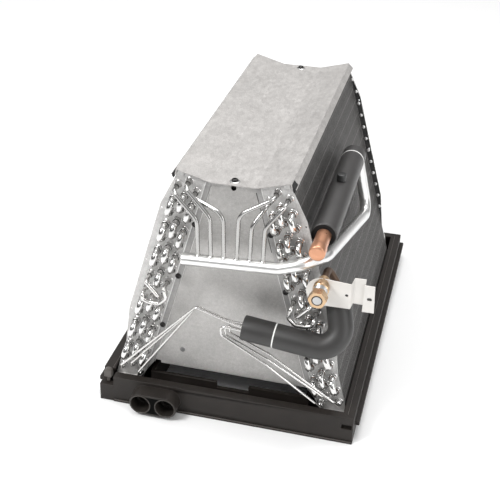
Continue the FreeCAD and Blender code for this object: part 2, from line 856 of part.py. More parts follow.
JUMPED = 7
for name, side in SIDES:
    bends = []
    for row in ROWS:
        for k in range(1, per_row - 1, 2):
            if k == JUMPED and row != "middle":
                continue
            bends.append(u_bend(row, k, side, front_outer, -1, 4))
    feature(f"{name}_return_bends", Part.makeCompound(bends))
    hairpins = [u_bend(row, k, side, rear_outer, 1, 3) for row in ROWS for k in range(0, per_row, 2)]
    feature(f"{name}_hairpin_bends", Part.makeCompound(hairpins))

# Jumper tubes that cross between the first and third rows
feeder_r = size("feeder_radius")
out_y = front_outer - size("jumper_standoff")
loop_along = size("row_one_start") + (JUMPED + 1) * pitch
for name, side in SIDES:
    xa, za = tube_spot("outer", JUMPED, side)
    xb, zb = tube_spot("inner", JUMPED + 1, side)
    direct = [
        V(xa, front_outer, za),
        V(xa, out_y, za),
        V(xb + side * size("jumper_shift"), out_y, zb + size("jumper_drop")),
        V(xb, out_y + size("jumper_entry"), zb),
        V(xb, front_outer, zb),
    ]
    xc, zc = tube_spot("outer", JUMPED + 1, side)
    xd, zd = tube_spot("inner", JUMPED, side)
    looped = [
        V(xc, front_outer, zc),
        V(xc, out_y, zc),
        beside_slab(loop_along + size("loop_near_along"), size("loop_near_inset"), out_y, side),
        beside_slab(loop_along + size("loop_low_along"), size("loop_low_inset"), out_y, side),
        beside_slab(loop_along + size("loop_turn_along"), size("loop_turn_inset"), out_y, side),
        beside_slab(loop_along - size("loop_back_along"), size("loop_back_inset"), out_y, side),
        V(xd, out_y, zd),
        V(xd, front_outer, zd),
    ]
    jumpers = []
    for route in (direct, looped):
        jumpers.append(faceted_tube(rounded_route(route, size("jumper_bend_radius"), 3), feeder_r, 8))
    feature(f"{name}_jumper_tubes", Part.makeCompound(jumpers))

# Suction header with its riser
head_y = front_outer - size("header_standoff")
left = beside_slab(size("header_left_along"), size("header_left_inset"), head_y, -1)
turn = beside_slab(size("header_bend_along"), size("header_bend_inset"), head_y)
side_stop = beside_slab(size("header_side_along"), size("header_side_inset"), head_y)
return_y = front_outer - size("header_return_setback")
back_stop = beside_slab(size("header_return_along"), -size("header_return_off"), return_y)
riser_y = front_outer + size("riser_setback")
corner = beside_slab(size("header_corner_along"), -size("header_corner_off"), riser_y)
suction_x, suction_z = slab_point(size("suction_along"), -size("suction_off"), 1)
suction_end = riser_y - size("suction_end_gap")
riser_top = V(suction_x, riser_y, suction_z)
riser_end = V(suction_x, suction_end, suction_z)
header_r = size("header_radius")
side_r = size("header_side_bend_radius")
return_r = size("header_return_bend_radius")
header = round_pipe(
    [left, turn, side_stop, back_stop, corner, riser_top, riser_end],
    (size("header_first_bend_radius"), side_r, return_r, side_r, side_r),
    header_r,
)
feature("suction_header", header)

# Feeders from the upper tube ends down to the header
climb = (turn.z - left.z) / (turn.x - left.x)
feeders = (
    ("outer", -1, "one"),
    ("middle", -1, "two"),
    ("inner", -1, "three"),
    ("middle", 1, "four"),
    ("inner", 1, "five"),
    ("outer", 1, "six"),
)
feeder_y = {
    row: front_outer - size("feeder_reach") + i * size("feeder_reach_step") for i, row in enumerate(ROWS)
}
for i, (row, side, place) in enumerate(feeders):
    x = left.x + size("feeder_first") + i * size("feeder_spacing")
    xe, ze = tube_spot(row, 0, side)
    route = [
        V(x, head_y, left.z + (x - left.x) * climb),
        V(x + side * size("feeder_lean"), head_y, top_z - size(f"feeder_{place}_drop")),
        V(xe, feeder_y[row], ze),
        V(xe, front_outer, ze),
    ]
    bent = rounded_route(route, size("feeder_bend_radius"), 3)
    tube = faceted_tube(bent, feeder_r, 8, V(0, 1, 0))
    feature(f"suction_feeder_{i + 1}", largest(tube.cut(header)))

# Suction connection: copper stub, its closing cap, foam sleeves and service port
suction_r = size("suction_radius")
bore_r = suction_r - size("suction_wall")
y0 = front_outer - size("suction_reach")
stub = new_body("suction_stub", V(suction_x, 0, suction_z))
stub_loop = rectangle(bore_r, y0, suction_r, suction_end)
revolve(stub, new_sketch(stub, "stub_section", "XY_Plane", 0, [stub_loop]))
cap_r = size("cap_radius")
cap = new_body("suction_stub_cap", V(suction_x, 0, suction_z))
cap_front = y0 - size("cap_wall")
cap_end = y0 + size("cap_length")
cap_loop = [
    (0, cap_front),
    (cap_r - size("cap_chamfer"), cap_front),
    (cap_r, cap_front + size("cap_chamfer")),
    (cap_r, cap_end - size("cap_shoulder")),
    (suction_r, cap_end),
    (suction_r, y0),
    (0, y0),
]
revolve(cap, new_sketch(cap, "cap_section", "XY_Plane", 0, [cap_loop]))
foam_r = size("foam_radius")
tie = size("tie_width")
foam_end = riser_y - size("foam_end_gap")
seam_y = foam_end - size("foam_rear_length") - tie
tie_rise = size("tie_rise")
chamfer = size("foam_chamfer")
sleeve_bore = suction_r + size("hole_clearance")
stem_y = front_outer + size("port_stem_setback")
stem_r = size("port_stem_radius")
sleeve_ends = {
    "suction_sleeve_front": (front_outer + size("foam_start_setback"), seam_y),
    "suction_sleeve_rear": (seam_y + tie, foam_end),
}
for label, (a, b) in sleeve_ends.items():
    sleeve = new_body(label, V(suction_x, 0, suction_z))
    loop = [
        (sleeve_bore, a),
        (foam_r - chamfer, a),
        (foam_r, a + chamfer),
        (foam_r, b - chamfer),
        (foam_r - chamfer, b),
        (sleeve_bore, b),
    ]
    revolve(sleeve, new_sketch(sleeve, label + "_section", "XY_Plane", 0, [loop]))
    if label.endswith("front"):
        port = new_sketch(sleeve, "port_hole", "XY_Plane", foam_r + 2, rings=[(0, stem_y, stem_r + tie_rise)])
        pocket(sleeve, port, foam_r + 2)
seam = new_body("suction_seam_tie", V(suction_x, 0, suction_z))
seam_loop = rectangle(sleeve_bore, seam_y, foam_r + tie_rise, seam_y + tie)
revolve(seam, new_sketch(seam, "seam_section", "XY_Plane", 0, [seam_loop]))
stem_top = foam_r + size("port_stem_rise")
stem = Part.makeCylinder(stem_r, stem_top, V(suction_x, stem_y, suction_z))
axis_start = V(suction_x, stem_y - 4 * stem_r, suction_z)
stem = stem.cut(Part.makeCylinder(suction_r, 8 * stem_r, axis_start, V(0, 1, 0)))
feature("service_port_stem", largest(stem))
port_cap = new_body("service_port_cap", V(suction_x, stem_y, suction_z))
pc_r = size("port_cap_radius")
pc_z = foam_r + size("port_cap_gap")
pc_cut = size("port_cap_chamfer")
pc_top = pc_z + size("port_cap_height")
pc_loop = [
    (stem_r, pc_z),
    (pc_r, pc_z),
    (pc_r, pc_top - pc_cut),
    (pc_r - pc_cut, pc_top),
    (0, pc_top),
    (0, stem_top),
    (stem_r, stem_top),
]
revolve(port_cap, new_sketch(port_cap, "port_cap_section", "XZ_Plane", 0, [pc_loop]))

# Liquid connection: bracket, brass fitting, nut and plug
by = front_outer - size("bracket_standoff")
round_at = slab_point(size("bracket_along"), -size("bracket_off"), 1)
rr = size("bracket_round_radius")
fx = round_at[0] + size("fitting_offset_x")
fz = round_at[1] + size("fitting_offset_z")
neck_r = size("fitting_neck_radius")
drop = size("bracket_drop")
tab_top = size("bracket_tab_top")
end_top = size("bracket_end_top")
bracket = new_body("liquid_bracket")
top, round_left, round_foot = offset_by(round_at, (0, rr), (-rr, 0), (0, 1 - rr))
straight = offset_by(
    round_at,
    (size("bracket_neck") + 3, 1.2 - drop),
    (size("bracket_neck") + 6, -drop),
    (size("bracket_length"), -drop),
    (size("bracket_corner"), end_top),
    (size("bracket_step_fold"), end_top),
    (size("bracket_step"), tab_top),
    (size("bracket_shoulder"), tab_top - 0.8),
    (size("bracket_neck"), rr),
)
blank = new_sketch(bracket, "bracket_blank", "XZ_Plane", -by, [[top, (round_left, round_foot)] + straight])
pad(bracket, blank, "Sizes.bracket_thickness", True)
slot_r = size("bracket_slot_radius")
slot_half = size("bracket_slot_length") / 2
slot_at = offset_by(round_at, (size("bracket_slot_x"), -size("bracket_slot_drop")))[0]
right_foot, right_end, right_top, left_top, left_end, left_foot = offset_by(
    slot_at,
    (slot_half - slot_r, -slot_r),
    (slot_half, 0),
    (slot_half - slot_r, slot_r),
    (slot_r - slot_half, slot_r),
    (-slot_half, 0),
    (slot_r - slot_half, -slot_r),
)
slot_loop = [right_foot, (right_end, right_top), left_top, (left_end, left_foot)]
small_hole = (round_at[0] + size("bracket_hole_x"), round_at[1], size("bracket_hole_radius"))
neck_hole = (fx, fz, neck_r + size("hole_clearance"))
bracket_holes = new_sketch(bracket, "bracket_holes", "XZ_Plane", -by, [slot_loop], [small_hole, neck_hole])
pocket(bracket, bracket_holes, "Sizes.bracket_thickness")


def hexagon(flats, x, z):
    r = flats / math.sqrt(3)
    corners = [math.radians(60 * i + 30) for i in range(6)]
    return [(x + r * math.cos(angle), z + r * math.sin(angle)) for angle in corners]


fitting = new_body("fitting_body")
hexed = new_sketch(fitting, "fitting_hex", "XZ_Plane", -by, [hexagon(size("fitting_flats"), fx, fz)])
pad(fitting, hexed, "Sizes.fitting_body_length")
neck = new_sketch(fitting, "fitting_neck", "XZ_Plane", -by, rings=[(fx, fz, neck_r)])
pad(fitting, neck, "Sizes.fitting_neck_length", True)
thread_front = by - size("fitting_body_length")
thread_ring = (fx, fz, size("fitting_thread_radius"))
thread = new_sketch(fitting, "fitting_thread", "XZ_Plane", -thread_front, rings=[thread_ring])
pad(fitting, thread, "Sizes.fitting_thread_length")
nut = new_body("fitting_nut")
nut_y = thread_front - size("fitting_thread_length")
nut_face = size("nut_length") - nut_y
nut_hex = new_sketch(nut, "nut_hex", "XZ_Plane", -nut_y, [hexagon(size("nut_flats"), fx, fz)])
pad(nut, nut_hex, "Sizes.nut_length")
plug_ring = (fx, fz, size("plug_radius"))
bore_ring = (fx, fz, size("plug_radius") + size("hole_clearance"))
nut_bore = new_sketch(nut, "nut_bore", "XZ_Plane", nut_face, rings=[bore_ring])
pocket(nut, nut_bore, "Sizes.plug_depth")
plug = new_body("fitting_plug")
plug_face = new_sketch(plug, "plug_face", "XZ_Plane", nut_face - size("plug_depth"), rings=[plug_ring])
pad(plug, plug_face, "Sizes.plug_depth + Sizes.plug_stand")

# Liquid line: tube, foam sleeves and distributor
ly = front_outer - size("liquid_standoff")
l_corner = beside_slab(size("liquid_corner_along"), -size("liquid_corner_off"), ly)
l_left = l_corner + V(-size("liquid_run"), 0, size("liquid_rise"))
l_along = (l_corner - l_left).normalize()
l_top = V(
    fx + size("liquid_top_x"),
    front_outer + size("liquid_top_setback"),
    fz - size("liquid_top_drop"),
)
l_leg = (l_top - l_corner).normalize()
l_seam = l_left + l_along * (size("liquid_short_run") / l_along.x)
l_r = size("liquid_tube_radius")
l_bore = l_r + size("hole_clearance")
foam = size("liquid_foam_radius")
l_bend = size("liquid_bend_radius")
d_r = size("distributor_radius")
d_face = l_left + l_along * size("distributor_depth")
d_end = d_face + l_along * size("distributor_length")
long_start = l_seam + l_along * tie
feature("liquid_sleeve_long", round_pipe([long_start, l_corner, l_top], (l_bend,), foam, l_bore))
short_length = (l_seam - l_left).Length
short = Part.makeCylinder(foam, short_length, l_left, l_along)
socket = Part.makeCylinder(d_r + size("hole_clearance"), (d_end - l_left).Length, l_left, l_along)
short = short.cut(socket)
short = short.cut(Part.makeCylinder(l_bore, 2 * short_length, l_left, l_along))
feature("liquid_sleeve_short", short)
tie_ring = Part.makeCylinder(foam + tie_rise, tie, l_seam, l_along)
tie_bore = Part.makeCylinder(l_bore, 3 * tie, l_seam - l_along * tie, l_along)
feature("liquid_seam_tie", tie_ring.cut(tie_bore))
feature("distributor", Part.makeCylinder(d_r, size("distributor_length"), d_face, l_along))
fit_back = V(fx, by + size("fitting_neck_length"), fz)
entry = V(fx, front_outer + size("liquid_entry_setback"), fz)
l_route = [d_end, l_corner, l_top + l_leg * size("liquid_overrun"), entry, fit_back]
entry_bend = size("liquid_entry_bend_radius")
feature("liquid_tube", round_pipe(l_route, (l_bend, entry_bend, entry_bend), l_r))

# Six small tubes from the distributor to the lowest tube of each row
cap_tube = size("capillary_radius")
circle = size("capillary_circle")
side_dir = l_along.cross(V(0, 1, 0)).normalize()
last_tube = per_row - 1
near_y = front_outer - size("capillary_reach")
entry_y = front_outer - size("capillary_entry")
capillary_ends = (
    ("outer", -1, 150),
    ("middle", -1, 90),
    ("inner", -1, 30),
    ("inner", 1, 210),
    ("middle", 1, 270),
    ("outer", 1, 330),
)
for i, (row, side, place) in enumerate(capillary_ends):
    xe, ze = tube_spot(row, last_tube, side)
    angle = math.radians(place)
    off = side_dir * (circle * math.sin(angle)) + V(0, 1, 0) * (circle * math.cos(angle))
    start = d_face + off - l_along * size("capillary_gap")
    if side < 0:
        spread = (i - 1) * size("left_fan_step")
        sag = spread * size("left_fan_slope")
        rise_near = size("left_fan_start_rise") - sag
        rise_far = size("left_fan_end_rise") - sag
        fan = [
            l_left + V(-size("left_fan_start_x"), spread, rise_near),
            l_left + V(-size("left_fan_end_x"), size("left_fan_end_y") + spread, rise_far),
        ]
    else:
        spread = (i - 4) * size("right_fan_step")
        height = off.z * size("right_fan_flatten")
        turn_x = spread - size("right_fan_turn_x")
        back_x = turn_x + size("right_fan_turn_width")
        fan = [
            l_left + V(turn_x, spread, height + size("right_fan_turn_rise")),
            l_left + V(back_x, spread, height - size("right_fan_turn_drop")),
            l_left + V(
                size("right_fan_end_x"),
                spread,
                spread * size("right_fan_end_slope") - size("right_fan_end_drop"),
            ),
        ]
    down = V(xe - side * size("capillary_side"), near_y, ze + size("capillary_rise"))
    route = [start] + fan + [down, V(xe, entry_y, ze), V(xe, front_outer, ze)]
    tube = faceted_tube(rounded_route(route, size("capillary_bend_radius"), 2), cap_tube, 6)
    feature(f"distributor_tube_{i + 1}", tube)

# Check and write
doc.recompute()
written = [o for o in doc.Objects if o.TypeId in ("PartDesign::Body", "Part::Feature")]
for obj in doc.Objects:
    if "Invalid" in obj.State or "Error" in obj.State:
        raise ValueError(f"{obj.Name}: {obj.State}")
for obj in written:
    if obj.Shape.isNull() or not obj.Shape.isValid():
        raise ValueError(f"{obj.Label}: no valid shape")
    obj.Shape.exportStep(f"parts/{obj.Label}.step")
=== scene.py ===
import math

import bpy
from mathutils import Matrix, Vector


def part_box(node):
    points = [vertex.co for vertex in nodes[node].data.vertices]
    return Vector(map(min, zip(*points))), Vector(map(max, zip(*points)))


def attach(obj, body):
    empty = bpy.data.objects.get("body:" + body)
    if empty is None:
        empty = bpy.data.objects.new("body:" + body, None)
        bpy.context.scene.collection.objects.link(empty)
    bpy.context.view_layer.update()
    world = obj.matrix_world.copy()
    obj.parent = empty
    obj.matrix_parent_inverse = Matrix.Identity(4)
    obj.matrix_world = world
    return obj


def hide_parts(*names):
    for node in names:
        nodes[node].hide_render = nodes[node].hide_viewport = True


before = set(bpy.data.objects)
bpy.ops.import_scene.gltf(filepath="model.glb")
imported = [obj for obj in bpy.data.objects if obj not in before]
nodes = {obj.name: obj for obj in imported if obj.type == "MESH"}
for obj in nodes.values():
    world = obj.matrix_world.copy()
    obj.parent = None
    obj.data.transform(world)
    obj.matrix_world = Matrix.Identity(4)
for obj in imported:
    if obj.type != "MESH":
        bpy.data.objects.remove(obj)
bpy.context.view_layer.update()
MM = 0.001

# Sizes shared with the part, in millimetres
TILT = math.radians(15.5)
SLAB_X, SLAB_Z = 72.3, 356.0
SLAB_LENGTH, SLAB_THICKNESS = 335.0, 38.1
FRONT_Y, REAR_Y = -227.0, 208.0
STEEL = 1.2
FRONT_OUT = FRONT_Y - STEEL
REAR_OUT = REAR_Y + STEEL
PITCH = 20.3
PER_ROW = 16
ROWS = ((19.3, 6.35), (9.2, 19.05), (19.3, 31.75))
TUBE_R = 3.5
JUMPED = 7
SIDES = (("left", -1), ("right", 1))

# Directions
FORWARD, BACKWARD, UPWARD = (0, -1, 0), (0, 1, 0), (0, 0, 1)


def slab_point(along, inset, side):
    """X and Z of a slab's point: along it from its top end, and inset from its outer face."""
    x = SLAB_X + along * math.sin(TILT) - inset * math.cos(TILT)
    z = SLAB_Z - along * math.cos(TILT) - inset * math.sin(TILT)
    return side * x, z


def slab_line(stops, inset, side, y):
    """Route along a slab through some stops, at one inset and one Y."""
    return [Vector((x, y, z)) for x, z in (slab_point(along, inset, side) for along in stops)]


def tube_spot(row, k, side):
    """X and Z of the tube end number k in a row."""
    start, inset = ROWS[row]
    return slab_point(start + k * PITCH, inset, side)


# Mesh building
def circle(across, up, radius, sides):
    """Vectors from a circle's centre to its points."""
    turns = (2 * math.pi * j / sides for j in range(sides))
    return [(across * math.cos(t) + up * math.sin(t)) * radius for t in turns]


def ring_faces(rings, sides):
    """Faces between rings whose points are numbered ring by ring."""
    faces = []
    for i in range(rings - 1):
        for j in range(sides):
            n = (j + 1) % sides
            faces.append((i * sides + j, i * sides + n, (i + 1) * sides + n, (i + 1) * sides + j))
    return faces


class Build:
    """Collects vertices in millimetres and faces of one piece."""

    def __init__(self):
        self.verts = []
        self.faces = []
        self.slots = []

    def add(self, verts, faces, slot=0):
        base = len(self.verts)
        self.verts += [tuple(v) for v in verts]
        self.faces += [tuple(base + i for i in face) for face in faces]
        self.slots += [slot] * len(faces)

    def sweep(self, route, radius, sides=16, slot=0, closed=True, radii=None):
        """Round bar along a route, of one radius or a radius for each point."""
        verts = []
        steps = [(after - before).normalized() for before, after in zip(route, route[1:])]
        across = steps[0].orthogonal().normalized()
        for i, point in enumerate(route):
            if i == 0:
                ahead = steps[0]
            elif i == len(route) - 1:
                ahead = steps[-1]
            else:
                ahead = (steps[i] + steps[i - 1]).normalized()
            across = (across - ahead * across.dot(ahead)).normalized()
            up = ahead.cross(across)
            verts += [point + v for v in circle(across, up, radii[i] if radii else radius, sides)]
        faces = ring_faces(len(route), sides)
        if closed:
            faces.append(tuple(reversed(range(sides))))
            faces.append(tuple(range(len(verts) - sides, len(verts))))
        self.add(verts, faces, slot)

    def lathe(self, profile, origin, axis, sides=32, slot=0):
        """Turns (radius, along) points round an axis; a profile may start and end on the axis."""
        axis = Vector(axis).normalized()
        across = axis.orthogonal().normalized()
        up = axis.cross(across)
        origin = Vector(origin)
        verts, rings = [], []
        for radius, along in profile:
            centre = origin + axis * along
            ring = [centre] if radius < 1e-6 else [centre + v for v in circle(across, up, radius, sides)]
            rings.append(range(len(verts), len(verts) + len(ring)))
            verts += ring
        faces = []
        for ring, following in zip(rings, rings[1:]):
            for j in range(sides):
                n = (j + 1) % sides
                if len(ring) == 1:
                    faces.append((ring[0], following[n], following[j]))
                elif len(following) == 1:
                    faces.append((ring[j], ring[n], following[0]))
                else:
                    faces.append((ring[j], ring[n], following[n], following[j]))
        self.add(verts, faces, slot)

    def prism(self, outline, y0, y1, slot=0):
        """Outline in the XZ plane drawn out along Y."""
        count = len(outline)
        verts = [(x, y0, z) for x, z in outline] + [(x, y1, z) for x, z in outline]
        faces = [tuple(range(count)), tuple(reversed(range(count, 2 * count)))]
        faces += [(i, i + count, (i + 1) % count + count, (i + 1) % count) for i in range(count)]
        self.add(verts, faces, slot)

    def block(self, low, high, slot=0):
        x0, y0, z0 = low
        x1, y1, z1 = high
        self.prism([(x0, z0), (x1, z0), (x1, z1), (x0, z1)], y0, y1, slot)

    def piece(self, name, materials, replaces=(), slot=None, smooth=40.0, bevel=0.0):
        """Makes the object, which rides the root body and may take the place of nodes of the part."""
        mesh = bpy.data.meshes.new(name)
        mesh.from_pydata([[c * MM for c in v] for v in self.verts], [], self.faces)
        for polygon, index in zip(mesh.polygons, self.slots):
            polygon.material_index = index
        for material in materials:
            mesh.materials.append(material)
        mesh.update()
        if smooth:
            mesh.shade_smooth()
            mesh.set_sharp_from_angle(angle=math.radians(smooth))
        obj = bpy.data.objects.new(name, mesh)
        bpy.context.scene.collection.objects.link(obj)
        if bevel:
            add_bevel(obj, bevel)
        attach(obj, "root")
        if replaces:
            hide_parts(*replaces)


def add_bevel(obj, width):
    weld = obj.modifiers.new("weld", "WELD")
    weld.merge_threshold = 0.00001
    bevel = obj.modifiers.new("bevel", "BEVEL")
    bevel.width = width * MM
    bevel.segments = 2
    bevel.limit_method = "ANGLE"
    bevel.angle_limit = math.radians(35)
    bevel.harden_normals = True


def smooth_route(points, radius, step=math.radians(11)):
    """Rounds each corner of a route with an arc of short steps."""
    points = [Vector(p) for p in points]
    radii = radius if isinstance(radius, (tuple, list)) else [radius] * (len(points) - 2)
    route = [points[0]]
    for before, corner, after, r in zip(points, points[1:], points[2:], radii):
        a = (before - corner).normalized()
        b = (after - corner).normalized()
        turn = math.pi - a.angle(b)
        if turn < 0.01:
            continue
        reach = r * math.tan(turn / 2)
        start = corner + a * reach
        centre = corner + (a + b).normalized() * (r / math.cos(turn / 2))
        u = (start - centre).normalized()
        end = corner + b * reach
        w = (end - centre) - u * (end - centre).dot(u)
        w.normalize()
        count = max(2, math.ceil(turn / step))
        for i in range(count + 1):
            t = turn * i / count
            route.append(centre + (u * math.cos(t) + w * math.sin(t)) * r)
    route.append(points[-1])
    return route


def arc(x, z, radius, first, last, count=14):
    """Points of an arc in the XZ plane, between two angles in degrees."""
    turns = (math.radians(first + (last - first) * i / count) for i in range(count + 1))
    return [(x + radius * math.cos(t), z + radius * math.sin(t)) for t in turns]


# Parts of a material's node tree
def new_material(name):
    material = bpy.data.materials.new(name)
    material.use_nodes = True
    tree = material.node_tree
    shader = tree.nodes["Principled BSDF"]
    coords = tree.nodes.new("ShaderNodeTexCoord")
    return material, tree, shader, coords.outputs["Object"]


def stretched(tree, coords, scale):
    mapping = tree.nodes.new("ShaderNodeMapping")
    mapping.inputs["Scale"].default_value = scale
    tree.links.new(coords, mapping.inputs["Vector"])
    return mapping.outputs["Vector"]


def noise(tree, coords, scale, detail, roughness=0.55):
    node = tree.nodes.new("ShaderNodeTexNoise")
    node.inputs["Scale"].default_value = scale
    node.inputs["Detail"].default_value = detail
    node.inputs["Roughness"].default_value = roughness
    tree.links.new(coords, node.inputs["Vector"])
    return node.outputs["Fac"]


def ramp(tree, value, stops):
    """Colour ramp through (place, colour) stops, where a single number stands for a grey."""
    node = tree.nodes.new("ShaderNodeValToRGB")
    elements = node.color_ramp.elements
    elements.remove(elements[1])
    for number, (place, colour) in enumerate(stops):
        element = elements.new(place) if number else elements[0]
        element.position = place
        element.color = (*colour, 1.0) if isinstance(colour, tuple) else (colour, colour, colour, 1.0)
    tree.links.new(value, node.inputs["Fac"])
    return node.outputs["Color"]


def patches(tree, value, colour, share, first=0.35, last=0.65):
    """Ramp from a darker share of a colour to the colour itself."""
    return ramp(tree, value, [(first, tuple(c * share for c in colour)), (last, colour)])


def bump(tree, shader, height, strength, distance):
    node = tree.nodes.new("ShaderNodeBump")
    node.inputs["Strength"].default_value = strength
    node.inputs["Distance"].default_value = distance
    tree.links.new(height, node.inputs["Height"])
    tree.links.new(node.outputs["Normal"], shader.inputs["Normal"])


def multiply(tree, a, b):
    node = tree.nodes.new("ShaderNodeMix")
    node.data_type = "RGBA"
    node.blend_type = "MULTIPLY"
    node.inputs["Factor"].default_value = 1.0
    tree.links.new(a, node.inputs[6])
    tree.links.new(b, node.inputs[7])
    return node.outputs[2]


def arithmetic(tree, operation, value, factor=0.0):
    node = tree.nodes.new("ShaderNodeMath")
    node.operation = operation
    tree.links.new(value, node.inputs[0])
    node.inputs[1].default_value = factor
    return node


def slab_share(tree, coords, direction, first, last):
    """Place "along" a slab or into it ("inset"): 0 at the first distance and 1 at the last."""
    if direction == "along":
        kx, kz = math.sin(TILT), -math.cos(TILT)
    else:
        kx, kz = -math.cos(TILT), -math.sin(TILT)
    span = last - first
    split = tree.nodes.new("ShaderNodeSeparateXYZ")
    tree.links.new(coords, split.inputs["Vector"])
    sideways = arithmetic(tree, "ABSOLUTE", split.outputs["X"])
    from_x = arithmetic(tree, "MULTIPLY_ADD", sideways.outputs[0], kx / MM / span)
    from_x.inputs[2].default_value = (-first - SLAB_X * kx - SLAB_Z * kz) / span
    from_both = arithmetic(tree, "MULTIPLY_ADD", split.outputs["Z"], kz / MM / span)
    tree.links.new(from_x.outputs[0], from_both.inputs[2])
    return from_both.outputs[0]


def slab_tones(tree, coords, direction, first, last, tones):
    """Ramp of tones at distances in millimetres along a slab or into it."""
    place = slab_share(tree, coords, direction, first, last)
    return ramp(tree, place, [((mm - first) / (last - first), tone) for mm, tone in tones])


# Kinds of surface
FINE_GRAIN = 0.0002


def galvanised(name, dark, light, metallic=0.40, roughness=(0.38, 0.50), spangle=240.0, contrast=1.0,
               bands=None):
    """Zinc with faint spangle and flecks; bands are tones of painted shade at insets, which end above the
    sheet's foot.
    """
    material, tree, shader, coords = new_material(name)
    cells = tree.nodes.new("ShaderNodeTexVoronoi")
    cells.inputs["Scale"].default_value = spangle
    tree.links.new(stretched(tree, coords, (1.0, 0.55, 1.0)), cells.inputs["Vector"])
    grey = ramp(tree, cells.outputs["Color"], [(0.0, dark), (1.0, light)])
    broad = ramp(tree, noise(tree, coords, 26.0, 3.0), [(0.3, 0.86), (0.7, 1.0)])
    flecks = ramp(tree, noise(tree, coords, 620.0, 2.0, 0.6), [(0.40, 1.0 - 0.12 * contrast), (0.62, 1.0)])
    tone = multiply(tree, multiply(tree, grey, broad), flecks)
    if bands:
        tone = multiply(tree, tone, slab_tones(tree, coords, "inset", -20.0, 60.0, bands))
        above_foot = slab_tones(tree, coords, "along", 0.0, 400.0, ((317.2, 1.0), (320.0, 0.0)))
        tree.links.new(above_foot, tone.node.inputs["Factor"])
    tree.links.new(tone, shader.inputs["Base Color"])
    shader.inputs["Metallic"].default_value = metallic
    rough = ramp(tree, cells.outputs["Color"], [(0.0, roughness[0]), (1.0, roughness[1])])
    tree.links.new(rough, shader.inputs["Roughness"])
    bump(tree, shader, noise(tree, coords, 900.0, 2.0), 0.10, FINE_GRAIN)
    return material


def metal(name, colour, roughness, metallic=1.0, grain=700.0, dirt=0.85):
    """Worked metal with patches of dirt and a fine grain."""
    material, tree, shader, coords = new_material(name)
    tone = patches(tree, noise(tree, coords, 60.0, 4.0), colour, dirt)
    tree.links.new(tone, shader.inputs["Base Color"])
    shader.inputs["Metallic"].default_value = metallic
    rough = ramp(tree, noise(tree, coords, 180.0, 3.0), [(0.3, roughness * 0.8), (0.7, roughness * 1.25)])
    tree.links.new(rough, shader.inputs["Roughness"])
    bump(tree, shader, noise(tree, coords, grain, 2.0), 0.06, FINE_GRAIN)
    return material


def drawn_metal(name, colour, roughness, metallic=1.0):
    """Smooth drawn tube: faint broad tone changes and no grain."""
    material, tree, shader, coords = new_material(name)
    tone = patches(tree, noise(tree, coords, 42.0, 2.0), colour, 0.92)
    tree.links.new(tone, shader.inputs["Base Color"])
    shader.inputs["Metallic"].default_value = metallic
    shader.inputs["Roughness"].default_value = roughness
    return material


def matte(name, colour, roughness, grain, variation=0.75, specular=0.5):
    """Plastic, foam or paint; its grain is the noise's scale, the bump's strength and its depth in metres."""
    material, tree, shader, coords = new_material(name)
    tone = patches(tree, noise(tree, coords, 45.0, 5.0), colour, variation, 0.3, 0.7)
    tree.links.new(tone, shader.inputs["Base Color"])
    shader.inputs["Roughness"].default_value = roughness
    shader.inputs["Specular IOR Level"].default_value = specular
    scale, strength, depth = grain
    bump(tree, shader, noise(tree, coords, scale, 3.0), strength, depth)
    return material


def fin_edges(name):
    """Grey fin edges, with a painted highlight on the ridge in front of each tube and painted shade beside
    it.
    """
    material, tree, shader, coords = new_material(name)
    first = ROWS[0][0] - 2.5 * PITCH
    rows = slab_share(tree, coords, "along", first, first + PITCH)
    part = arithmetic(tree, "FRACT", rows)
    # Painted highlight on each ridge and painted shade beside it
    lines = ramp(tree, part.outputs[0],
                 [(0.0, 0.74), (0.36, 0.90), (0.43, 0.62), (0.5, 1.7), (0.57, 0.86), (1.0, 0.74)])
    grey = ramp(tree, noise(tree, coords, 34.0, 4.0),
                [(0.3, (0.163, 0.158, 0.153)), (0.7, (0.192, 0.187, 0.182))])
    tree.links.new(multiply(tree, grey, lines), shader.inputs["Base Color"])
    shader.inputs["Metallic"].default_value = 0.35
    rough = ramp(tree, noise(tree, coords, 180.0, 3.0), [(0.3, 0.40), (0.7, 0.55)])
    tree.links.new(rough, shader.inputs["Roughness"])
    bump(tree, shader, noise(tree, coords, 500.0, 2.0), 0.06, FINE_GRAIN)
    return material


# Zinc; bands are (inset in millimetres, tone) pairs across a sheet that paint shade: a dark line at the outer
# edge and a darker strip inboard of the fold on the front sheets, a nearly black wing on the rear sheets,
# whose rest is darker too
SHEET_SHADE_BANDS = ((-0.8, 1.0), (0.2, 0.80), (1.0, 1.0), (39.2, 1.0), (39.6, 0.60), (46.0, 0.70))
REAR_SHADE_BANDS = ((-0.8, 0.10), (0.2, 0.8), (46.0, 0.8))
SHEET_TONES = ((0.55, 0.54, 0.53), (0.66, 0.65, 0.64))
M_COVER = galvanised("cover_galvanised", (0.47, 0.452, 0.437), (0.565, 0.547, 0.53), metallic=0.35,
                     roughness=(0.40, 0.55), contrast=1.4)
M_PLATE = galvanised("plate_galvanised", (0.455, 0.443, 0.43), (0.53, 0.52, 0.506))
M_SHEET = galvanised("sheet_galvanised", *SHEET_TONES, spangle=200.0, bands=SHEET_SHADE_BANDS)
M_REAR_SHEET = galvanised("rear_sheet_galvanised", *SHEET_TONES, spangle=200.0, bands=REAR_SHADE_BANDS)
# Painted light: the sheets' feet in a lighter zinc, as lit from the front
M_LIT_FOOT = galvanised("foot_painted_light", (0.74, 0.72, 0.70), (0.82, 0.80, 0.78), metallic=0.2,
                    roughness=(0.45, 0.6))
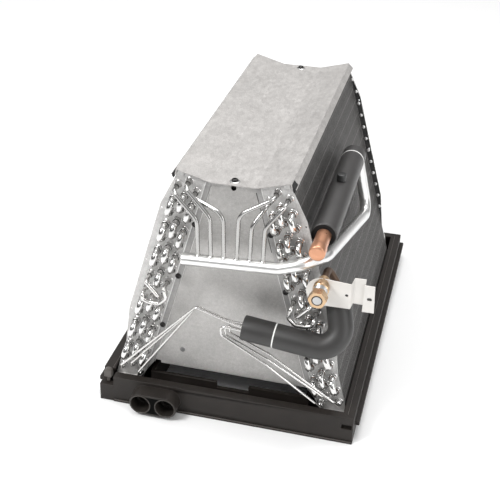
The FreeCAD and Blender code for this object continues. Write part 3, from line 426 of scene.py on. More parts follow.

# Aluminium
# Painted highlight: bright metal for the sheets' folds, the plate's bright lines, and the rear sheets' domes
# and rims
M_EDGE_HIGHLIGHT = metal("edge_painted_highlight", (0.84, 0.835, 0.825), 0.34, metallic=0.8)
M_TUBE = drawn_metal("bend_aluminium", (0.72, 0.715, 0.705), 0.13)
M_HEADER = drawn_metal("header_aluminium", (0.84, 0.835, 0.825), 0.30, metallic=0.9)
M_FEEDER = drawn_metal("feeder_aluminium", (0.46, 0.455, 0.445), 0.24)
M_SMALL_TUBE = drawn_metal("bright_small_tube", (0.70, 0.69, 0.675), 0.24)
M_SOCKET = drawn_metal("tube_socket", (0.66, 0.655, 0.645), 0.26)
# Painted shadow: dark rings in the socket mouths, the warm one for the right slab
M_RING_SHADE = metal("ring_painted_shade", (0.10, 0.095, 0.09), 0.45, metallic=0.9)
M_WARM_RING_SHADE = metal("warm_ring_painted_shade", (0.25, 0.155, 0.11), 0.40, metallic=0.9)
M_FIN = fin_edges("fin_edge")
# Painted shade: dark core for the depth between the fins
M_FIN_GAP_SHADE = metal("fin_gap_painted_shade", (0.055, 0.054, 0.052), 0.6, metallic=0.4)

# Copper, brass and steel
M_COPPER = metal("copper", (0.66, 0.335, 0.205), 0.33, metallic=0.8, grain=500.0, dirt=0.90)
# Painted shade: dark copper for the liquid tube
M_SHADED_COPPER = metal("copper_painted_shade", (0.13, 0.085, 0.06), 0.5, metallic=0.6, grain=500.0)
M_BRASS = metal("brass", (0.60, 0.42, 0.26), 0.30, metallic=0.85, grain=500.0, dirt=0.88)
M_STEEL = metal("bright_steel", (0.72, 0.72, 0.71), 0.28)
M_THREAD = metal("thread_steel", (0.40, 0.40, 0.40), 0.36, metallic=0.9)
# Black screws; the same black paints shade lines and rings
M_BLACK_SCREW_AND_SHADE = metal("black_screw_and_painted_shade", (0.045, 0.043, 0.042), 0.33, metallic=0.7)

# Plastic, foam and paint
PAN_GRAIN = (900.0, 0.25, 0.0003)
EDGE_GRAIN = (900.0, 0.2, 0.0003)
FOAM_GRAIN = (1400.0, 0.4, 0.0003)
CUT_GRAIN = (1500.0, 0.8, 0.0004)
GASKET_GRAIN = (1600.0, 0.6, 0.0004)
CAP_GRAIN = (700.0, 0.1, 0.0004)
SCREW_GRAIN = (700.0, 0.2, 0.0004)
SMOOTH_GRAIN = (500.0, 0.05, 0.0004)
COAT_GRAIN = (500.0, 0.08, 0.0004)
M_PAN = matte("pan_plastic", (0.021, 0.0170, 0.0145), 0.50, PAN_GRAIN, specular=0.32)
# Lighter pan plastic: painted highlights on the pan's edges, and the corner clip's colour
M_PAN_EDGE = matte("pan_plastic_edge", (0.085, 0.076, 0.069), 0.42, EDGE_GRAIN, variation=0.8)
# Painted highlight on the drain mouths' rims, and painted shade for the recess between them
M_MOUTH_HIGHLIGHT = matte("mouth_rim_painted_highlight", (0.048, 0.042, 0.037), 0.45, EDGE_GRAIN, variation=0.8, specular=0.4)
M_RECESS_SHADE = matte("recess_painted_shade", (0.004, 0.004, 0.004), 0.9, EDGE_GRAIN, variation=0.8, specular=0.05)
M_FOAM = matte("black_foam", (0.043, 0.041, 0.040), 0.44, FOAM_GRAIN, variation=0.85, specular=0.62)
# Painted shade: darker foam for the liquid line
M_SHADED_FOAM = matte("black_foam_painted_shade", (0.031, 0.030, 0.029), 0.47, FOAM_GRAIN, variation=0.85, specular=0.55)
M_FOAM_END = matte("foam_cut_end", (0.014, 0.014, 0.014), 0.9, CUT_GRAIN, variation=0.7, specular=0.2)
M_GASKET = matte("gasket_foam", (0.02, 0.02, 0.02), 0.85, GASKET_GRAIN)
M_GREY_GASKET = matte("grey_gasket_foam", (0.46, 0.455, 0.445), 0.85, GASKET_GRAIN)
M_RUBBER = matte("black_cap", (0.022, 0.022, 0.022), 0.38, CAP_GRAIN)
M_SLOT_SCREW = matte("grey_slot_screw", (0.20, 0.20, 0.20), 0.6, SCREW_GRAIN)
M_WHITE = matte("white_strip", (0.82, 0.82, 0.80), 0.5, SMOOTH_GRAIN, variation=0.95)
M_PLUG = matte("plug_plastic", (0.50, 0.50, 0.50), 0.42, SMOOTH_GRAIN, variation=0.92)
M_BRACKET = matte("bracket_coat", (0.66, 0.64, 0.61), 0.36, COAT_GRAIN, variation=0.93)


# Nodes of the part that are drawn as they are
def paint(name, material, bevel=0.0):
    obj = nodes[name]
    obj.data.materials.clear()
    obj.data.materials.append(material)
    if bevel:
        add_bevel(obj, bevel)


paint("drain_pan", M_PAN, 0.9)
paint("rear_delta_plate", M_PLATE)
for name, side in SIDES:
    paint(f"{name}_front_tube_sheet", M_SHEET)
    paint(f"{name}_rear_tube_sheet", M_REAR_SHEET)
    paint(f"{name}_cover_gasket", M_GREY_GASKET, 0.6)
paint("top_cover", M_COVER)

# Front delta plate with the notch that the cover screw passes through
TROUGH = 29.4
PLATE_INSET = SLAB_THICKNESS + 0.5
PLATE_FLANGE = 16.0
CORNER_CUT = 1.0
STEP_X, STEP_HEIGHT = -98.0, 4.0
NOTCH = ((3.2, 0.0), (3.2, -6.0), (2.3, -8.2), (0.0, -9.2), (-2.3, -8.2), (-3.2, -6.0), (-3.2, 0.0))


def plate_edge(z):
    along = (SLAB_Z - z - PLATE_INSET * math.sin(TILT)) / math.cos(TILT)
    return slab_point(along, PLATE_INSET, 1)[0]


low, high = (corner[2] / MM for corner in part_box("front_delta_plate"))
step, shoulder = low + STEP_HEIGHT, high - CORNER_CUT
half_top = TROUGH - CORNER_CUT
outline = [(-plate_edge(step), step), (STEP_X, step), (STEP_X, low), (plate_edge(low), low),
           (plate_edge(shoulder), shoulder), (half_top, high)]
outline += [(x, high + z) for x, z in NOTCH]
outline += [(-half_top, high), (-plate_edge(shoulder), shoulder)]
plate = Build()
plate.prism(outline, FRONT_Y, FRONT_Y + STEEL)
plate.block((-half_top, FRONT_Y, high - STEEL), (half_top, FRONT_Y + PLATE_FLANGE, high))
plate.piece("front_plate_sheet", [M_PLATE], ["front_delta_plate"], "galvanised_sheet", smooth=0, bevel=0.25)

# Fin packs: a core painted dark as the shade deep between the fins, with separate fins standing out of it,
# and a ridge in front of each tube
RIDGE, RIDGE_HALF = 0.45, 1.3
FIN_PITCH, FIN_THICK = 1.7, 0.7
GAP_DEPTH = 0.7
CORE_SHORT, CORE_BACK = 0.3, 0.2


def fin_outline(side):
    ridges = [ROWS[0][0] + k * PITCH for k in range(PER_ROW)]
    outer = [(0, 0)]
    inner = [(0, SLAB_THICKNESS)]
    for along in ridges:
        outer += [(along - RIDGE_HALF, 0), (along, -RIDGE), (along + RIDGE_HALF, 0)]
        inner += [(along - RIDGE_HALF, SLAB_THICKNESS), (along, SLAB_THICKNESS + RIDGE),
                  (along + RIDGE_HALF, SLAB_THICKNESS)]
    outer.append((SLAB_LENGTH, 0))
    inner.append((SLAB_LENGTH, SLAB_THICKNESS))
    return [slab_point(along, inset, side) for along, inset in outer + inner[::-1]]


for name, side in SIDES:
    fins = Build()
    first, last = CORE_SHORT, SLAB_LENGTH - CORE_SHORT
    outer, inner = GAP_DEPTH, SLAB_THICKNESS - GAP_DEPTH
    core = ((first, outer), (last, outer), (last, inner), (first, inner))
    fins.prism([slab_point(*spot, side) for spot in core], FRONT_Y + CORE_BACK, REAR_Y - CORE_BACK, 1)
    outline = fin_outline(side)
    count = int((REAR_Y - FRONT_Y) / FIN_PITCH)
    spacing = (REAR_Y - FRONT_Y - FIN_THICK) / count
    for i in range(count + 1):
        y = FRONT_Y + i * spacing
        fins.prism(outline, y, y + FIN_THICK)
    fins.piece(f"{name}_fins", [M_FIN, M_FIN_GAP_SHADE], [f"{name}_fin_pack"], "fin_aluminium", smooth=0)

# Fold along the inner side of each front sheet, bright as a painted highlight, and the lines beside it on the
# delta plate: painted highlights and one black line of painted shadow
FOLD_INSET, FOLD_R = 38.8, 0.85
FOLD_STOPS = (2.0, 120.0, 240.0, SLAB_LENGTH - 16.0)
LINE_INSET, LINE_R = 47.0, 0.42
HIGHLIGHT_LINE, SHADOW_LINE = 0, 1
PLATE_LINES = ((1, SHADOW_LINE, 7.0, 92.0), (1, HIGHLIGHT_LINE, 120.0, 300.0), (-1, HIGHLIGHT_LINE, 7.0, 300.0))
folds = Build()
for side in (-1, 1):
    folds.sweep(slab_line(FOLD_STOPS, FOLD_INSET, side, FRONT_OUT + 0.1), FOLD_R, 10)
for side, tone, first, last in PLATE_LINES:
    stops = (first, (first + last) / 2, last)
    folds.sweep(slab_line(stops, LINE_INSET, side, FRONT_Y - 0.1), LINE_R, 8, slot=tone)
folds.piece("sheet_folds", [M_EDGE_HIGHLIGHT, M_BLACK_SCREW_AND_SHADE], slot="galvanised_sheet")

# Feet folded forward from the front sheets, in a lighter zinc as painted light
FOOT_WIDTH, FOOT_DEPTH, FOOT_LIFT = 29.0, 17.0, 0.6
FOOT_INSET = 30.0
feet = Build()
for side in (-1, 1):
    corner = slab_point(SLAB_LENGTH, 0, side)[0]
    low = slab_point(SLAB_LENGTH, FOOT_INSET, side)[1] + FOOT_LIFT
    x0, x1 = sorted((corner, corner - side * FOOT_WIDTH))
    feet.block((x0, FRONT_OUT - FOOT_DEPTH, low), (x1, FRONT_OUT + STEEL / 2, low + STEEL))
feet.piece("sheet_feet", [M_LIT_FOOT], slot="galvanised_sheet", bevel=0.3)

# Domes on the wings of the rear sheets, and the rim round the wings, in bright metal as painted highlights
DOMES, DOME_PHASE = 12, 0.3
DOME = ((2.9, 0.0), (2.7, 1.0), (1.8, 1.9), (0.0, 2.3))
DOME_INSET = -3.9
END_INSETS = {0: -1.4, DOMES - 1: -2.6}
WING_RIM = ((9.0, -0.2), (55.0, -8.9), (229.0, -8.9), (283.0, -0.2))
dimples = Build()
for side in (-1, 1):
    for k in range(DOMES):
        along = ROWS[0][0] + (k + DOME_PHASE) * PITCH
        x, z = slab_point(along, END_INSETS.get(k, DOME_INSET), side)
        dimples.lathe(DOME, (x, REAR_Y, z), FORWARD, 16)
    rim = (slab_point(along, inset, side) for along, inset in WING_RIM)
    dimples.sweep([Vector((x, REAR_Y - 0.3, z)) for x, z in rim], 0.8, 8)
dimples.piece("rear_sheet_dimples", [M_EDGE_HIGHLIGHT], slot="galvanised_sheet")

# Sloping outer lips of the cover, with a narrow front end and foam under both ends; X and Z on the right side
LIP = ((73.2, 357.0), (80.4, 349.8), (79.6, 349.1), (72.4, 356.2))
LIP_END = ((79.7, 350.5), (80.4, 349.8), (79.6, 349.1), (78.9, 349.7))
LIP_FOAM = ((73.8, 356.3), (79.0, 350.4), (79.2, 347.6), (77.0, 344.6), (75.9, 347.6))
for name, side in SIDES:
    lip = Build()
    lip.prism([(side * x, z) for x, z in LIP], FRONT_OUT + 11.0, REAR_OUT + 1.8)
    lip.prism([(side * x, z) for x, z in LIP_END], FRONT_OUT - 3.4, FRONT_OUT + 11.2)
    lip.piece(f"{name}_cover_lip", [M_COVER], slot="galvanised_sheet", smooth=0, bevel=0.2)
    ends = Build()
    foam_shape = [(side * x, z) for x, z in LIP_FOAM]
    ends.prism(foam_shape, FRONT_OUT - 3.2, FRONT_OUT + 14.0)
    ends.prism(foam_shape, REAR_OUT - 10.0, REAR_OUT + 1.4)
    ends.piece(f"{name}_lip_foam", [M_GASKET], slot="black_foam", smooth=0, bevel=0.3)

# Bends of the tubes, with the sockets that they are brazed into; a dark ring at each socket's mouth is
# painted shadow
BEND_LEG, BEND_R, BEND_STEPS = 7.2, 4.4, 14
SOCKET_LENGTH = 6.4
SOCKET, SHADOW_GAP = 1, 2


def u_route(row, k, side, y, direction):
    """Route of a bend from tube end k to the next one in its row."""
    x0, z0 = tube_spot(row, k, side)
    x1, z1 = tube_spot(row, k + 1, side)
    first, last = Vector((x0, y, z0)), Vector((x1, y, z1))
    centre = Vector(((x0 + x1) / 2, y + direction * BEND_LEG, (z0 + z1) / 2))
    radius = (last - first).length / 2
    across = (first - last).normalized()
    out = Vector((0, direction, 0))
    turns = (math.pi * i / BEND_STEPS for i in range(BEND_STEPS + 1))
    return [first] + [centre + (across * math.cos(t) + out * math.sin(t)) * radius for t in turns] + [last]


def socket(build, row, k, side):
    """Flared tube end at the front that a bend is brazed into, with a dark ring of painted shadow in its
    mouth.
    """
    x, z = tube_spot(row, k, side)
    r, length = TUBE_R, SOCKET_LENGTH
    rim = [(r + 2.2, 0), (r + 1.4, 0.5), (r + 0.9, 1.4)]
    bell = [(r + 0.9, length - 2.6), (r + 1.3, length - 1.0), (r + 1.9, length), (r + 1.6, length + 0.3)]
    shadow_ring = [(r + 1.6, length + 0.3), (r + 1.0, length - 0.5), (r - 0.1, length - 0.5)]
    build.lathe(rim + bell, (x, FRONT_OUT, z), FORWARD, 20, SOCKET)
    build.lathe(shadow_ring, (x, FRONT_OUT, z), FORWARD, 20, SHADOW_GAP)


def small_socket(build, row, k, side, radius):
    """Tube end at the front that is drawn in to hold a thinner tube, with a dark ring of painted shadow at
    its neck.
    """
    x, z = tube_spot(row, k, side)
    r = TUBE_R
    neck = radius + 0.9
    outside = [(r + 2.0, 0), (r + 1.0, 0.5), (r + 0.6, 1.4), (r + 0.6, 5.6), (r + 0.1, 7.0), (neck, 8.2)]
    build.lathe(outside, (x, FRONT_OUT, z), FORWARD, 20, SOCKET)
    build.lathe([(neck, 8.2), (radius - 0.1, 8.5)], (x, FRONT_OUT, z), FORWARD, 20, SHADOW_GAP)


for name, side in SIDES:
    bends = Build()
    for row in range(len(ROWS)):
        for k in range(1, PER_ROW - 1, 2):
            if k == JUMPED and row != 1:
                continue
            bends.sweep(u_route(row, k, side, FRONT_OUT, -1), BEND_R, 16)
            socket(bends, row, k, side)
            socket(bends, row, k + 1, side)
    shadow_ring = M_RING_SHADE if side < 0 else M_WARM_RING_SHADE
    bends.piece(f"{name}_front_bends", [M_TUBE, M_SOCKET, shadow_ring], [f"{name}_return_bends"], "tube_aluminium")
    hairpins = Build()
    for row in range(len(ROWS)):
        for k in range(0, PER_ROW, 2):
            hairpins.sweep(u_route(row, k, side, REAR_OUT, 1), TUBE_R, 14)
    hairpins.piece(f"{name}_rear_bends", [M_TUBE], [f"{name}_hairpin_bends"], "tube_aluminium")

# Jumper tubes: one crosses straight to the next row but one, the other loops below it
FEEDER_R = 2.75
JUMPER_Y = FRONT_OUT - 25.0
JUMPER_BEND = 4.5
TURN_X, TURN_Y, TURN_Z = 3.0, 9.0, 8.0
JUMPER_LOOP = ((113.5, 171.5), (105.5, 168.4), (91.0, 168.4), (81.5, 178.0))
for name, side in SIDES:
    xa, za = tube_spot(0, JUMPED, side)
    xb, zb = tube_spot(2, JUMPED + 1, side)
    xc, zc = tube_spot(0, JUMPED + 1, side)
    xd, zd = tube_spot(2, JUMPED, side)
    direct = [(xa, FRONT_OUT, za), (xa, JUMPER_Y, za), (xb + side * TURN_X, JUMPER_Y, zb + TURN_Z),
              (xb, JUMPER_Y + TURN_Y, zb), (xb, FRONT_OUT, zb)]
    looped = [(xc, FRONT_OUT, zc), (xc, JUMPER_Y, zc)]
    looped += [(side * x, JUMPER_Y, z) for x, z in JUMPER_LOOP]
    looped += [(xd, JUMPER_Y, zd), (xd, FRONT_OUT, zd)]
    jumpers = Build()
    for route in (direct, looped):
        jumpers.sweep(smooth_route(route, JUMPER_BEND), FEEDER_R, 16)
    for row in (0, 2):
        for k in (JUMPED, JUMPED + 1):
            small_socket(jumpers, row, k, side, FEEDER_R)
    jumpers.piece(f"{name}_jumpers", [M_SMALL_TUBE, M_SOCKET, M_RING_SHADE], [f"{name}_jumper_tubes"],
                  "tube_aluminium")

# Suction header: from its domed left end across the front, back along the right slab and up to the sleeve
HEADER_Y, HEADER_R = -260.5, 7.95
HEADER_LEFT_X, HEADER_LEFT_Z = -57.5, 246.9
HEADER_RIGHT_X, HEADER_RIGHT_Z = 68.0, 252.8
RISER_Y = 46.0
SUCTION_X, SUCTION_Z = 115.8, 287.6
STUB_REAR = 18.0
HEADER_POINTS = ((HEADER_LEFT_X, HEADER_Y, HEADER_LEFT_Z), (HEADER_RIGHT_X, HEADER_Y, HEADER_RIGHT_Z),
                 (95.5, HEADER_Y, 262.5), (122.5, -231.0, 264.0), (138.7, RISER_Y, 187.5),
                 (SUCTION_X, RISER_Y, SUCTION_Z), (SUCTION_X, STUB_REAR, SUCTION_Z))
HEADER_CORNERS = (30.0, 20.0, 24.0, 20.0, 20.0)
HEADER_DOME = ((0.0, 0.88), (0.4, 0.95), (1.2, 0.99), (2.4, 1.0), (4.0, 1.0))
route = smooth_route(HEADER_POINTS, HEADER_CORNERS, math.radians(6))
along = (route[1] - route[0]).normalized()
dome = [route[0] + along * distance for distance, share in HEADER_DOME]
radii = [HEADER_R * share for distance, share in HEADER_DOME]
radii += [HEADER_R] * (len(route) - 1)
header = Build()
header.sweep(dome + route[1:], HEADER_R, 32, radii=radii)
header.piece("suction_header_tube", [M_HEADER], ["suction_header"], "tube_aluminium")

# Feeders from the header to the upper tube ends, from left to right: X, top, row and side
FEEDERS = ((-36.1, 305.4, 0, -1), (-19.4, 311.0, 1, -1), (-2.5, 317.9, 2, -1),
           (14.1, 320.9, 1, 1), (30.7, 307.2, 2, 1), (47.6, 307.3, 0, 1))
FEEDER_CORNERS = (17.0, 9.0)
FEEDER_START, FEEDER_LEAN = 4.0, 1.5
FEEDER_OUT, ROW_BEHIND = 24.0, 3.0
climb = (HEADER_RIGHT_Z - HEADER_LEFT_Z) / (HEADER_RIGHT_X - HEADER_LEFT_X)
for i, (x, top, row, side) in enumerate(FEEDERS):
    end_x, end_z = tube_spot(row, 0, side)
    axis_z = HEADER_LEFT_Z + (x - HEADER_LEFT_X) * climb
    points = [(x, HEADER_Y, axis_z + FEEDER_START), (x + FEEDER_LEAN * side, HEADER_Y, top),
              (end_x, FRONT_OUT - FEEDER_OUT + ROW_BEHIND * row, end_z), (end_x, FRONT_OUT, end_z)]
    feeder = Build()
    feeder.sweep(smooth_route(points, FEEDER_CORNERS), FEEDER_R, 18)
    feeder.lathe([(FEEDER_R + 1.6, 6.9), (FEEDER_R + 0.9, 7.9), (FEEDER_R - 0.1, 9.0)],
                 (x, HEADER_Y, axis_z), UPWARD, 18, SOCKET)
    small_socket(feeder, row, 0, side, FEEDER_R)
    feeder.piece(f"feeder_tube_{i + 1}", [M_FEEDER, M_SOCKET, M_RING_SHADE], [f"suction_feeder_{i + 1}"],
                 "tube_aluminium")

# Suction stub with its closing cap
SUCTION_R, SUCTION_BORE = 9.53, 8.4
STUB_FRONT = -268.0
CAP = ((0, -271.4), (7.6, -271.4), (9.2, -271.0), (10.1, -270.0), (10.4, -268.6), (10.4, -255.6),
       (10.2, -254.6), (9.5, -253.8))
SUCTION_AXIS = (SUCTION_X, 0, SUCTION_Z)
stub = Build()
stub.lathe([(SUCTION_BORE, STUB_FRONT), (SUCTION_R, STUB_FRONT), (SUCTION_R, STUB_REAR),
            (SUCTION_BORE, STUB_REAR)], SUCTION_AXIS, BACKWARD, 40)
stub.piece("copper_stub", [M_COPPER], ["suction_stub"], "copper")
cap = Build()
cap.lathe(CAP, SUCTION_AXIS, BACKWARD, 40)
cap.piece("copper_stub_end", [M_COPPER], ["suction_stub_cap"], "copper")

# Foam sleeves on the suction line, with the white seam between them
FOAM_R = 16.8
FOAM_ROUNDING = ((0.0, 1.6), (0.35, 0.7), (1.1, 0.2), (2.2, 0.0))
BORE_DEPTH = 12.0


def foam_tube(name, route, radius, bore, replaces, material):
    """Foam tube whose cut ends are rounded and open."""
    ahead = (route[1] - route[0]).normalized()
    back = (route[-2] - route[-1]).normalized()
    start = [route[0] + ahead * step for step, less in FOAM_ROUNDING]
    end = [route[-1] + back * step for step, less in FOAM_ROUNDING]
    rounded = [radius - less for step, less in FOAM_ROUNDING]
    radii = rounded + [radius] * (len(route) - 2) + rounded[::-1]
    build = Build()
    build.sweep(start + route[1:-1] + end[::-1], radius, 40, closed=False, radii=radii)
    for point, inwards in ((route[0], ahead), (route[-1], back)):
        build.lathe([(rounded[0], 0), (bore, 0), (bore, BORE_DEPTH)], point, inwards, 40, 1)
    build.piece(name, [material, M_FOAM_END], replaces, "black_foam", smooth=50)


for name, stops in (("front", (-223.0, -100.0, 3.2)), ("rear", (4.2, 12.0, 25.2))):
    route = [Vector((SUCTION_X, y, SUCTION_Z)) for y in stops]
    foam_tube(f"foam_sleeve_{name}", route, FOAM_R, SUCTION_R + 0.1, [f"suction_sleeve_{name}"], M_FOAM)
seam = Build()
seam.lathe([(FOAM_R - 1.8, 2.6), (FOAM_R + 0.15, 2.9), (FOAM_R + 0.25, 3.7), (FOAM_R + 0.15, 4.5),
            (FOAM_R - 1.8, 4.8)], SUCTION_AXIS, BACKWARD, 48)
seam.piece("foam_seam", [M_WHITE], ["suction_seam_tie"], "white_tie")

# Service port: a stem through the foam and a cap with fine grip ridges
PORT_SPOT = Vector((SUCTION_X, -96.6, SUCTION_Z))
CAP_LOW, CAP_HIGH = 17.0, 25.6
GRIP_POINTS = 48
port = Build()
port.lathe([(3.2, 9.0), (3.2, 17.4)], PORT_SPOT, UPWARD, 20)
port.piece("port_stem", [M_BRASS], ["service_port_stem"], "copper")
verts = []
for height in (CAP_LOW, CAP_HIGH):
    for j in range(GRIP_POINTS):
        r = 6.4 if j % 2 else 6.15
        t = 2 * math.pi * j / GRIP_POINTS
        verts.append(PORT_SPOT + Vector((r * math.cos(t), r * math.sin(t), height)))
port_cap = Build()
port_cap.add(verts, ring_faces(2, GRIP_POINTS) + [tuple(reversed(range(GRIP_POINTS)))])
port_cap.lathe([(6.3, CAP_HIGH), (6.1, 26.3), (5.4, 26.7), (0, 26.7)], PORT_SPOT, UPWARD, GRIP_POINTS)
port_cap.piece("port_cap", [M_RUBBER], ["service_port_cap"], "cap_plastic")

# Liquid line: foam elbow in two pieces with a white seam, the tube and the distributor inside them
LIQUID_Y = -267.4
LIQUID_FOAM = 16.4
LIQUID_LEFT = Vector((26.3, LIQUID_Y, 162.5))
LIQUID_CORNER = Vector((157.5, LIQUID_Y, 147.5))
LIQUID_BEND = 26.0
LIQUID_TUBE_R = 4.76
SEAM_X = 67.4
LONG_BORE, SHORT_BORE = 5.0, 8.6
LEG_LENGTH, LEG_CLIMB = 84.0, 6.0
DISTRIBUTOR_SET_BACK, DISTRIBUTOR_LENGTH, DISTRIBUTOR_R = 3.0, 30.0, 8.4
FITTING_X, FITTING_Y, FITTING_Z = 124.4, -261.0, 241.0
liquid_way = (LIQUID_CORNER - LIQUID_LEFT).normalized()
leg_way = Vector((-0.235, 0.505, 0.83)).normalized()
leg_end = LIQUID_CORNER + leg_way * LEG_LENGTH
seam_spot = LIQUID_LEFT + liquid_way * ((SEAM_X - LIQUID_LEFT.x) / liquid_way.x)
long_route = smooth_route([seam_spot + liquid_way, LIQUID_CORNER, leg_end], LIQUID_BEND, math.radians(5))
foam_tube("liquid_foam_long", long_route, LIQUID_FOAM, LONG_BORE, ["liquid_sleeve_long"], M_SHADED_FOAM)
short_route = [LIQUID_LEFT, LIQUID_LEFT + liquid_way * 15, seam_spot]
foam_tube("liquid_foam_short", short_route, LIQUID_FOAM, SHORT_BORE, ["liquid_sleeve_short"], M_SHADED_FOAM)
seam = Build()
seam.lathe([(LIQUID_FOAM - 2.4, -0.6), (LIQUID_FOAM - 0.6, -0.3), (LIQUID_FOAM - 0.4, 0.5),
            (LIQUID_FOAM - 0.6, 1.3), (LIQUID_FOAM - 2.4, 1.6)], seam_spot, liquid_way, 48)
seam.piece("liquid_seam", [M_WHITE], ["liquid_seam_tie"], "white_tie")
distributor_face = LIQUID_LEFT + liquid_way * DISTRIBUTOR_SET_BACK
distributor_end = distributor_face + liquid_way * DISTRIBUTOR_LENGTH
liquid_points = [distributor_end, LIQUID_CORNER, leg_end + leg_way * LEG_CLIMB,
                 (FITTING_X, -222.0, FITTING_Z), (FITTING_X, FITTING_Y + 9, FITTING_Z)]
line = Build()
line.sweep(smooth_route(liquid_points, (LIQUID_BEND, 9.0, 9.0)), LIQUID_TUBE_R, 20)
# The liquid tube is painted dark as shade
line.piece("liquid_copper", [M_SHADED_COPPER], ["liquid_tube"], "copper")
head = Build()
head.lathe([(0, 0), (DISTRIBUTOR_R - 0.8, 0), (DISTRIBUTOR_R, 1.0), (DISTRIBUTOR_R, DISTRIBUTOR_LENGTH),
            (0, DISTRIBUTOR_LENGTH)], distributor_face, liquid_way, 32)
head.piece("distributor_body", [M_BRASS], ["distributor"], "brass")

# Bracket, in X and Z from the middle of its round end: a plate with a hole, a shallow fold set back and an
# end plate whose slot lies across the seam of its two halves
BRACKET_X, BRACKET_Z = slab_point(135.93, -14.92, 1)
BRACKET_THICK = 1.6
ROUND_R = 19.2
HOLE_X, HOLE_R = 31.6, 2.2
PLATE_LOW, PLATE_HIGH = -18.6, 16.9
END_SEAM, END_LOW, END_HIGH = 59.75, -19.6, 18.0
SLOT_HALF, SLOT_Z, SLOT_R = 0.75, -1.0, 2.5
slot_low, slot_high = (END_SEAM, SLOT_Z - SLOT_R), (END_SEAM, SLOT_Z + SLOT_R)
BRACKET_PARTS = (
    [(HOLE_X, PLATE_HIGH)] + arc(0, 0, ROUND_R, 90, 270) + [(HOLE_X, PLATE_LOW)]
    + arc(HOLE_X, 0, HOLE_R, 270, 90),
    [(36.8, PLATE_LOW), (36.8, 16.4), (HOLE_X, PLATE_HIGH)] + arc(HOLE_X, 0, HOLE_R, 90, -90)
    + [(HOLE_X, PLATE_LOW)],
    [(END_SEAM, END_HIGH), (52.9, 18.3), (51.9, END_LOW), (END_SEAM, END_LOW), slot_low]
    + arc(END_SEAM - SLOT_HALF, SLOT_Z, SLOT_R, 270, 90) + [slot_high],
    [(END_SEAM, END_LOW), (66.6, END_LOW), (65.6, END_HIGH), (END_SEAM, END_HIGH), slot_high]
    + arc(END_SEAM + SLOT_HALF, SLOT_Z, SLOT_R, 90, -90) + [slot_low],
)
# Sections of the fold: X, set-back, lower and upper end
FOLD_SECTIONS = ((36.8, 0.0, PLATE_LOW, 16.4), (37.6, 0.5, -17.6, 19.2), (39.6, 2.9, -11.4, 24.0),
                 (40.2, 3.2, -11.2, 24.3), (53.8, 3.2, -11.8, 24.8))
bracket = Build()
for part in BRACKET_PARTS:
    bracket.prism([(BRACKET_X + x, BRACKET_Z + z) for x, z in part], FITTING_Y, FITTING_Y + BRACKET_THICK)
front = [(BRACKET_X + x, FITTING_Y + y, BRACKET_Z + z) for x, y, low, high in FOLD_SECTIONS
         for z in (low, high)]
back = [(x, y + BRACKET_THICK, z) for x, y, z in front]
n = len(front)
faces = []
for i in range(0, n - 2, 2):
    faces.append((i, i + 2, i + 3, i + 1))
    faces.append((n + i + 1, n + i + 3, n + i + 2, n + i))
    faces.append((i, n + i, n + i + 2, i + 2))
    faces.append((i + 1, i + 3, n + i + 3, n + i + 1))
faces.append((n - 2, 2 * n - 2, 2 * n - 1, n - 1))
bracket.add(front + back, faces)
bracket.block((BRACKET_X + 52.6, FITTING_Y + 1.0, BRACKET_Z - 11.6),
              (BRACKET_X + 53.8, FITTING_Y + 3.4, BRACKET_Z + 17.8))
bracket.piece("bracket_folded", [M_BRACKET], ["liquid_bracket"], "bracket_paint", smooth=0)

# Brass fitting, along Y from the bracket's face: round body with its thread, hexagon nut and light plug, and
# a black ring of painted shade round the plug
FITTING = (FITTING_X, FITTING_Y, FITTING_Z)
BODY = ((6.6, -17.0), (9.0, -16.8), (10.0, -15.8), (10.3, -14.6), (10.3, -8.0), (9.6, -7.0), (7.6, -6.0),
        (7.6, 0))
THREAD_START, THREAD_STEP, THREAD_POINTS = -16.6, 0.9, 14
THREAD_CREST, THREAD_ROOT = 9.0, 8.1
NUT_FLATS, NUT_FRONT, NUT_REAR, NUT_CHAMFER = 20.5, -40.5, -27.6, 1.0
PLUG = ((0, -0.9), (4.6, -0.9), (5.3, -0.5), (5.4, 0.4), (5.4, 6))
body = Build()
body.lathe(BODY, FITTING, BACKWARD, 40)
body.lathe([(7.2, 0), (7.2, 9), (0, 9)], FITTING, BACKWARD)
thread = [(THREAD_CREST if i % 2 else THREAD_ROOT, THREAD_START - THREAD_STEP * i)
          for i in range(THREAD_POINTS)]
body.lathe(thread, FITTING, BACKWARD, slot=1)
body.piece("fitting_hex_body", [M_BRASS, M_THREAD], ["fitting_body"], "brass", smooth=25)


def hex_block(build, flats, y0, y1, chamfer):
    """Hexagon bar with both ends turned to a cone."""
    sides = 48
    inner = flats / 2
    outer = flats / math.sqrt(3)
    verts = []
    for y, grow in ((y0, 0.35), (y0 + chamfer, 1.0), (y1 - chamfer, 1.0), (y1, 0.35)):
        for j in range(sides):
            t = 2 * math.pi * j / sides
            edge = inner / math.cos(t % math.radians(60) - math.radians(30))
            r = min(edge, inner + (outer - inner) * grow) if grow < 1 else edge
            verts.append((FITTING_X + r * math.cos(t), FITTING_Y + y, FITTING_Z + r * math.sin(t)))
    faces = [tuple(reversed(face)) for face in ring_faces(4, sides)]
    faces.append(tuple(range(sides)))
    faces.append(tuple(reversed(range(3 * sides, 4 * sides))))
    build.add(verts, faces)


nut = Build()
hex_block(nut, NUT_FLATS, NUT_FRONT, NUT_REAR, NUT_CHAMFER)
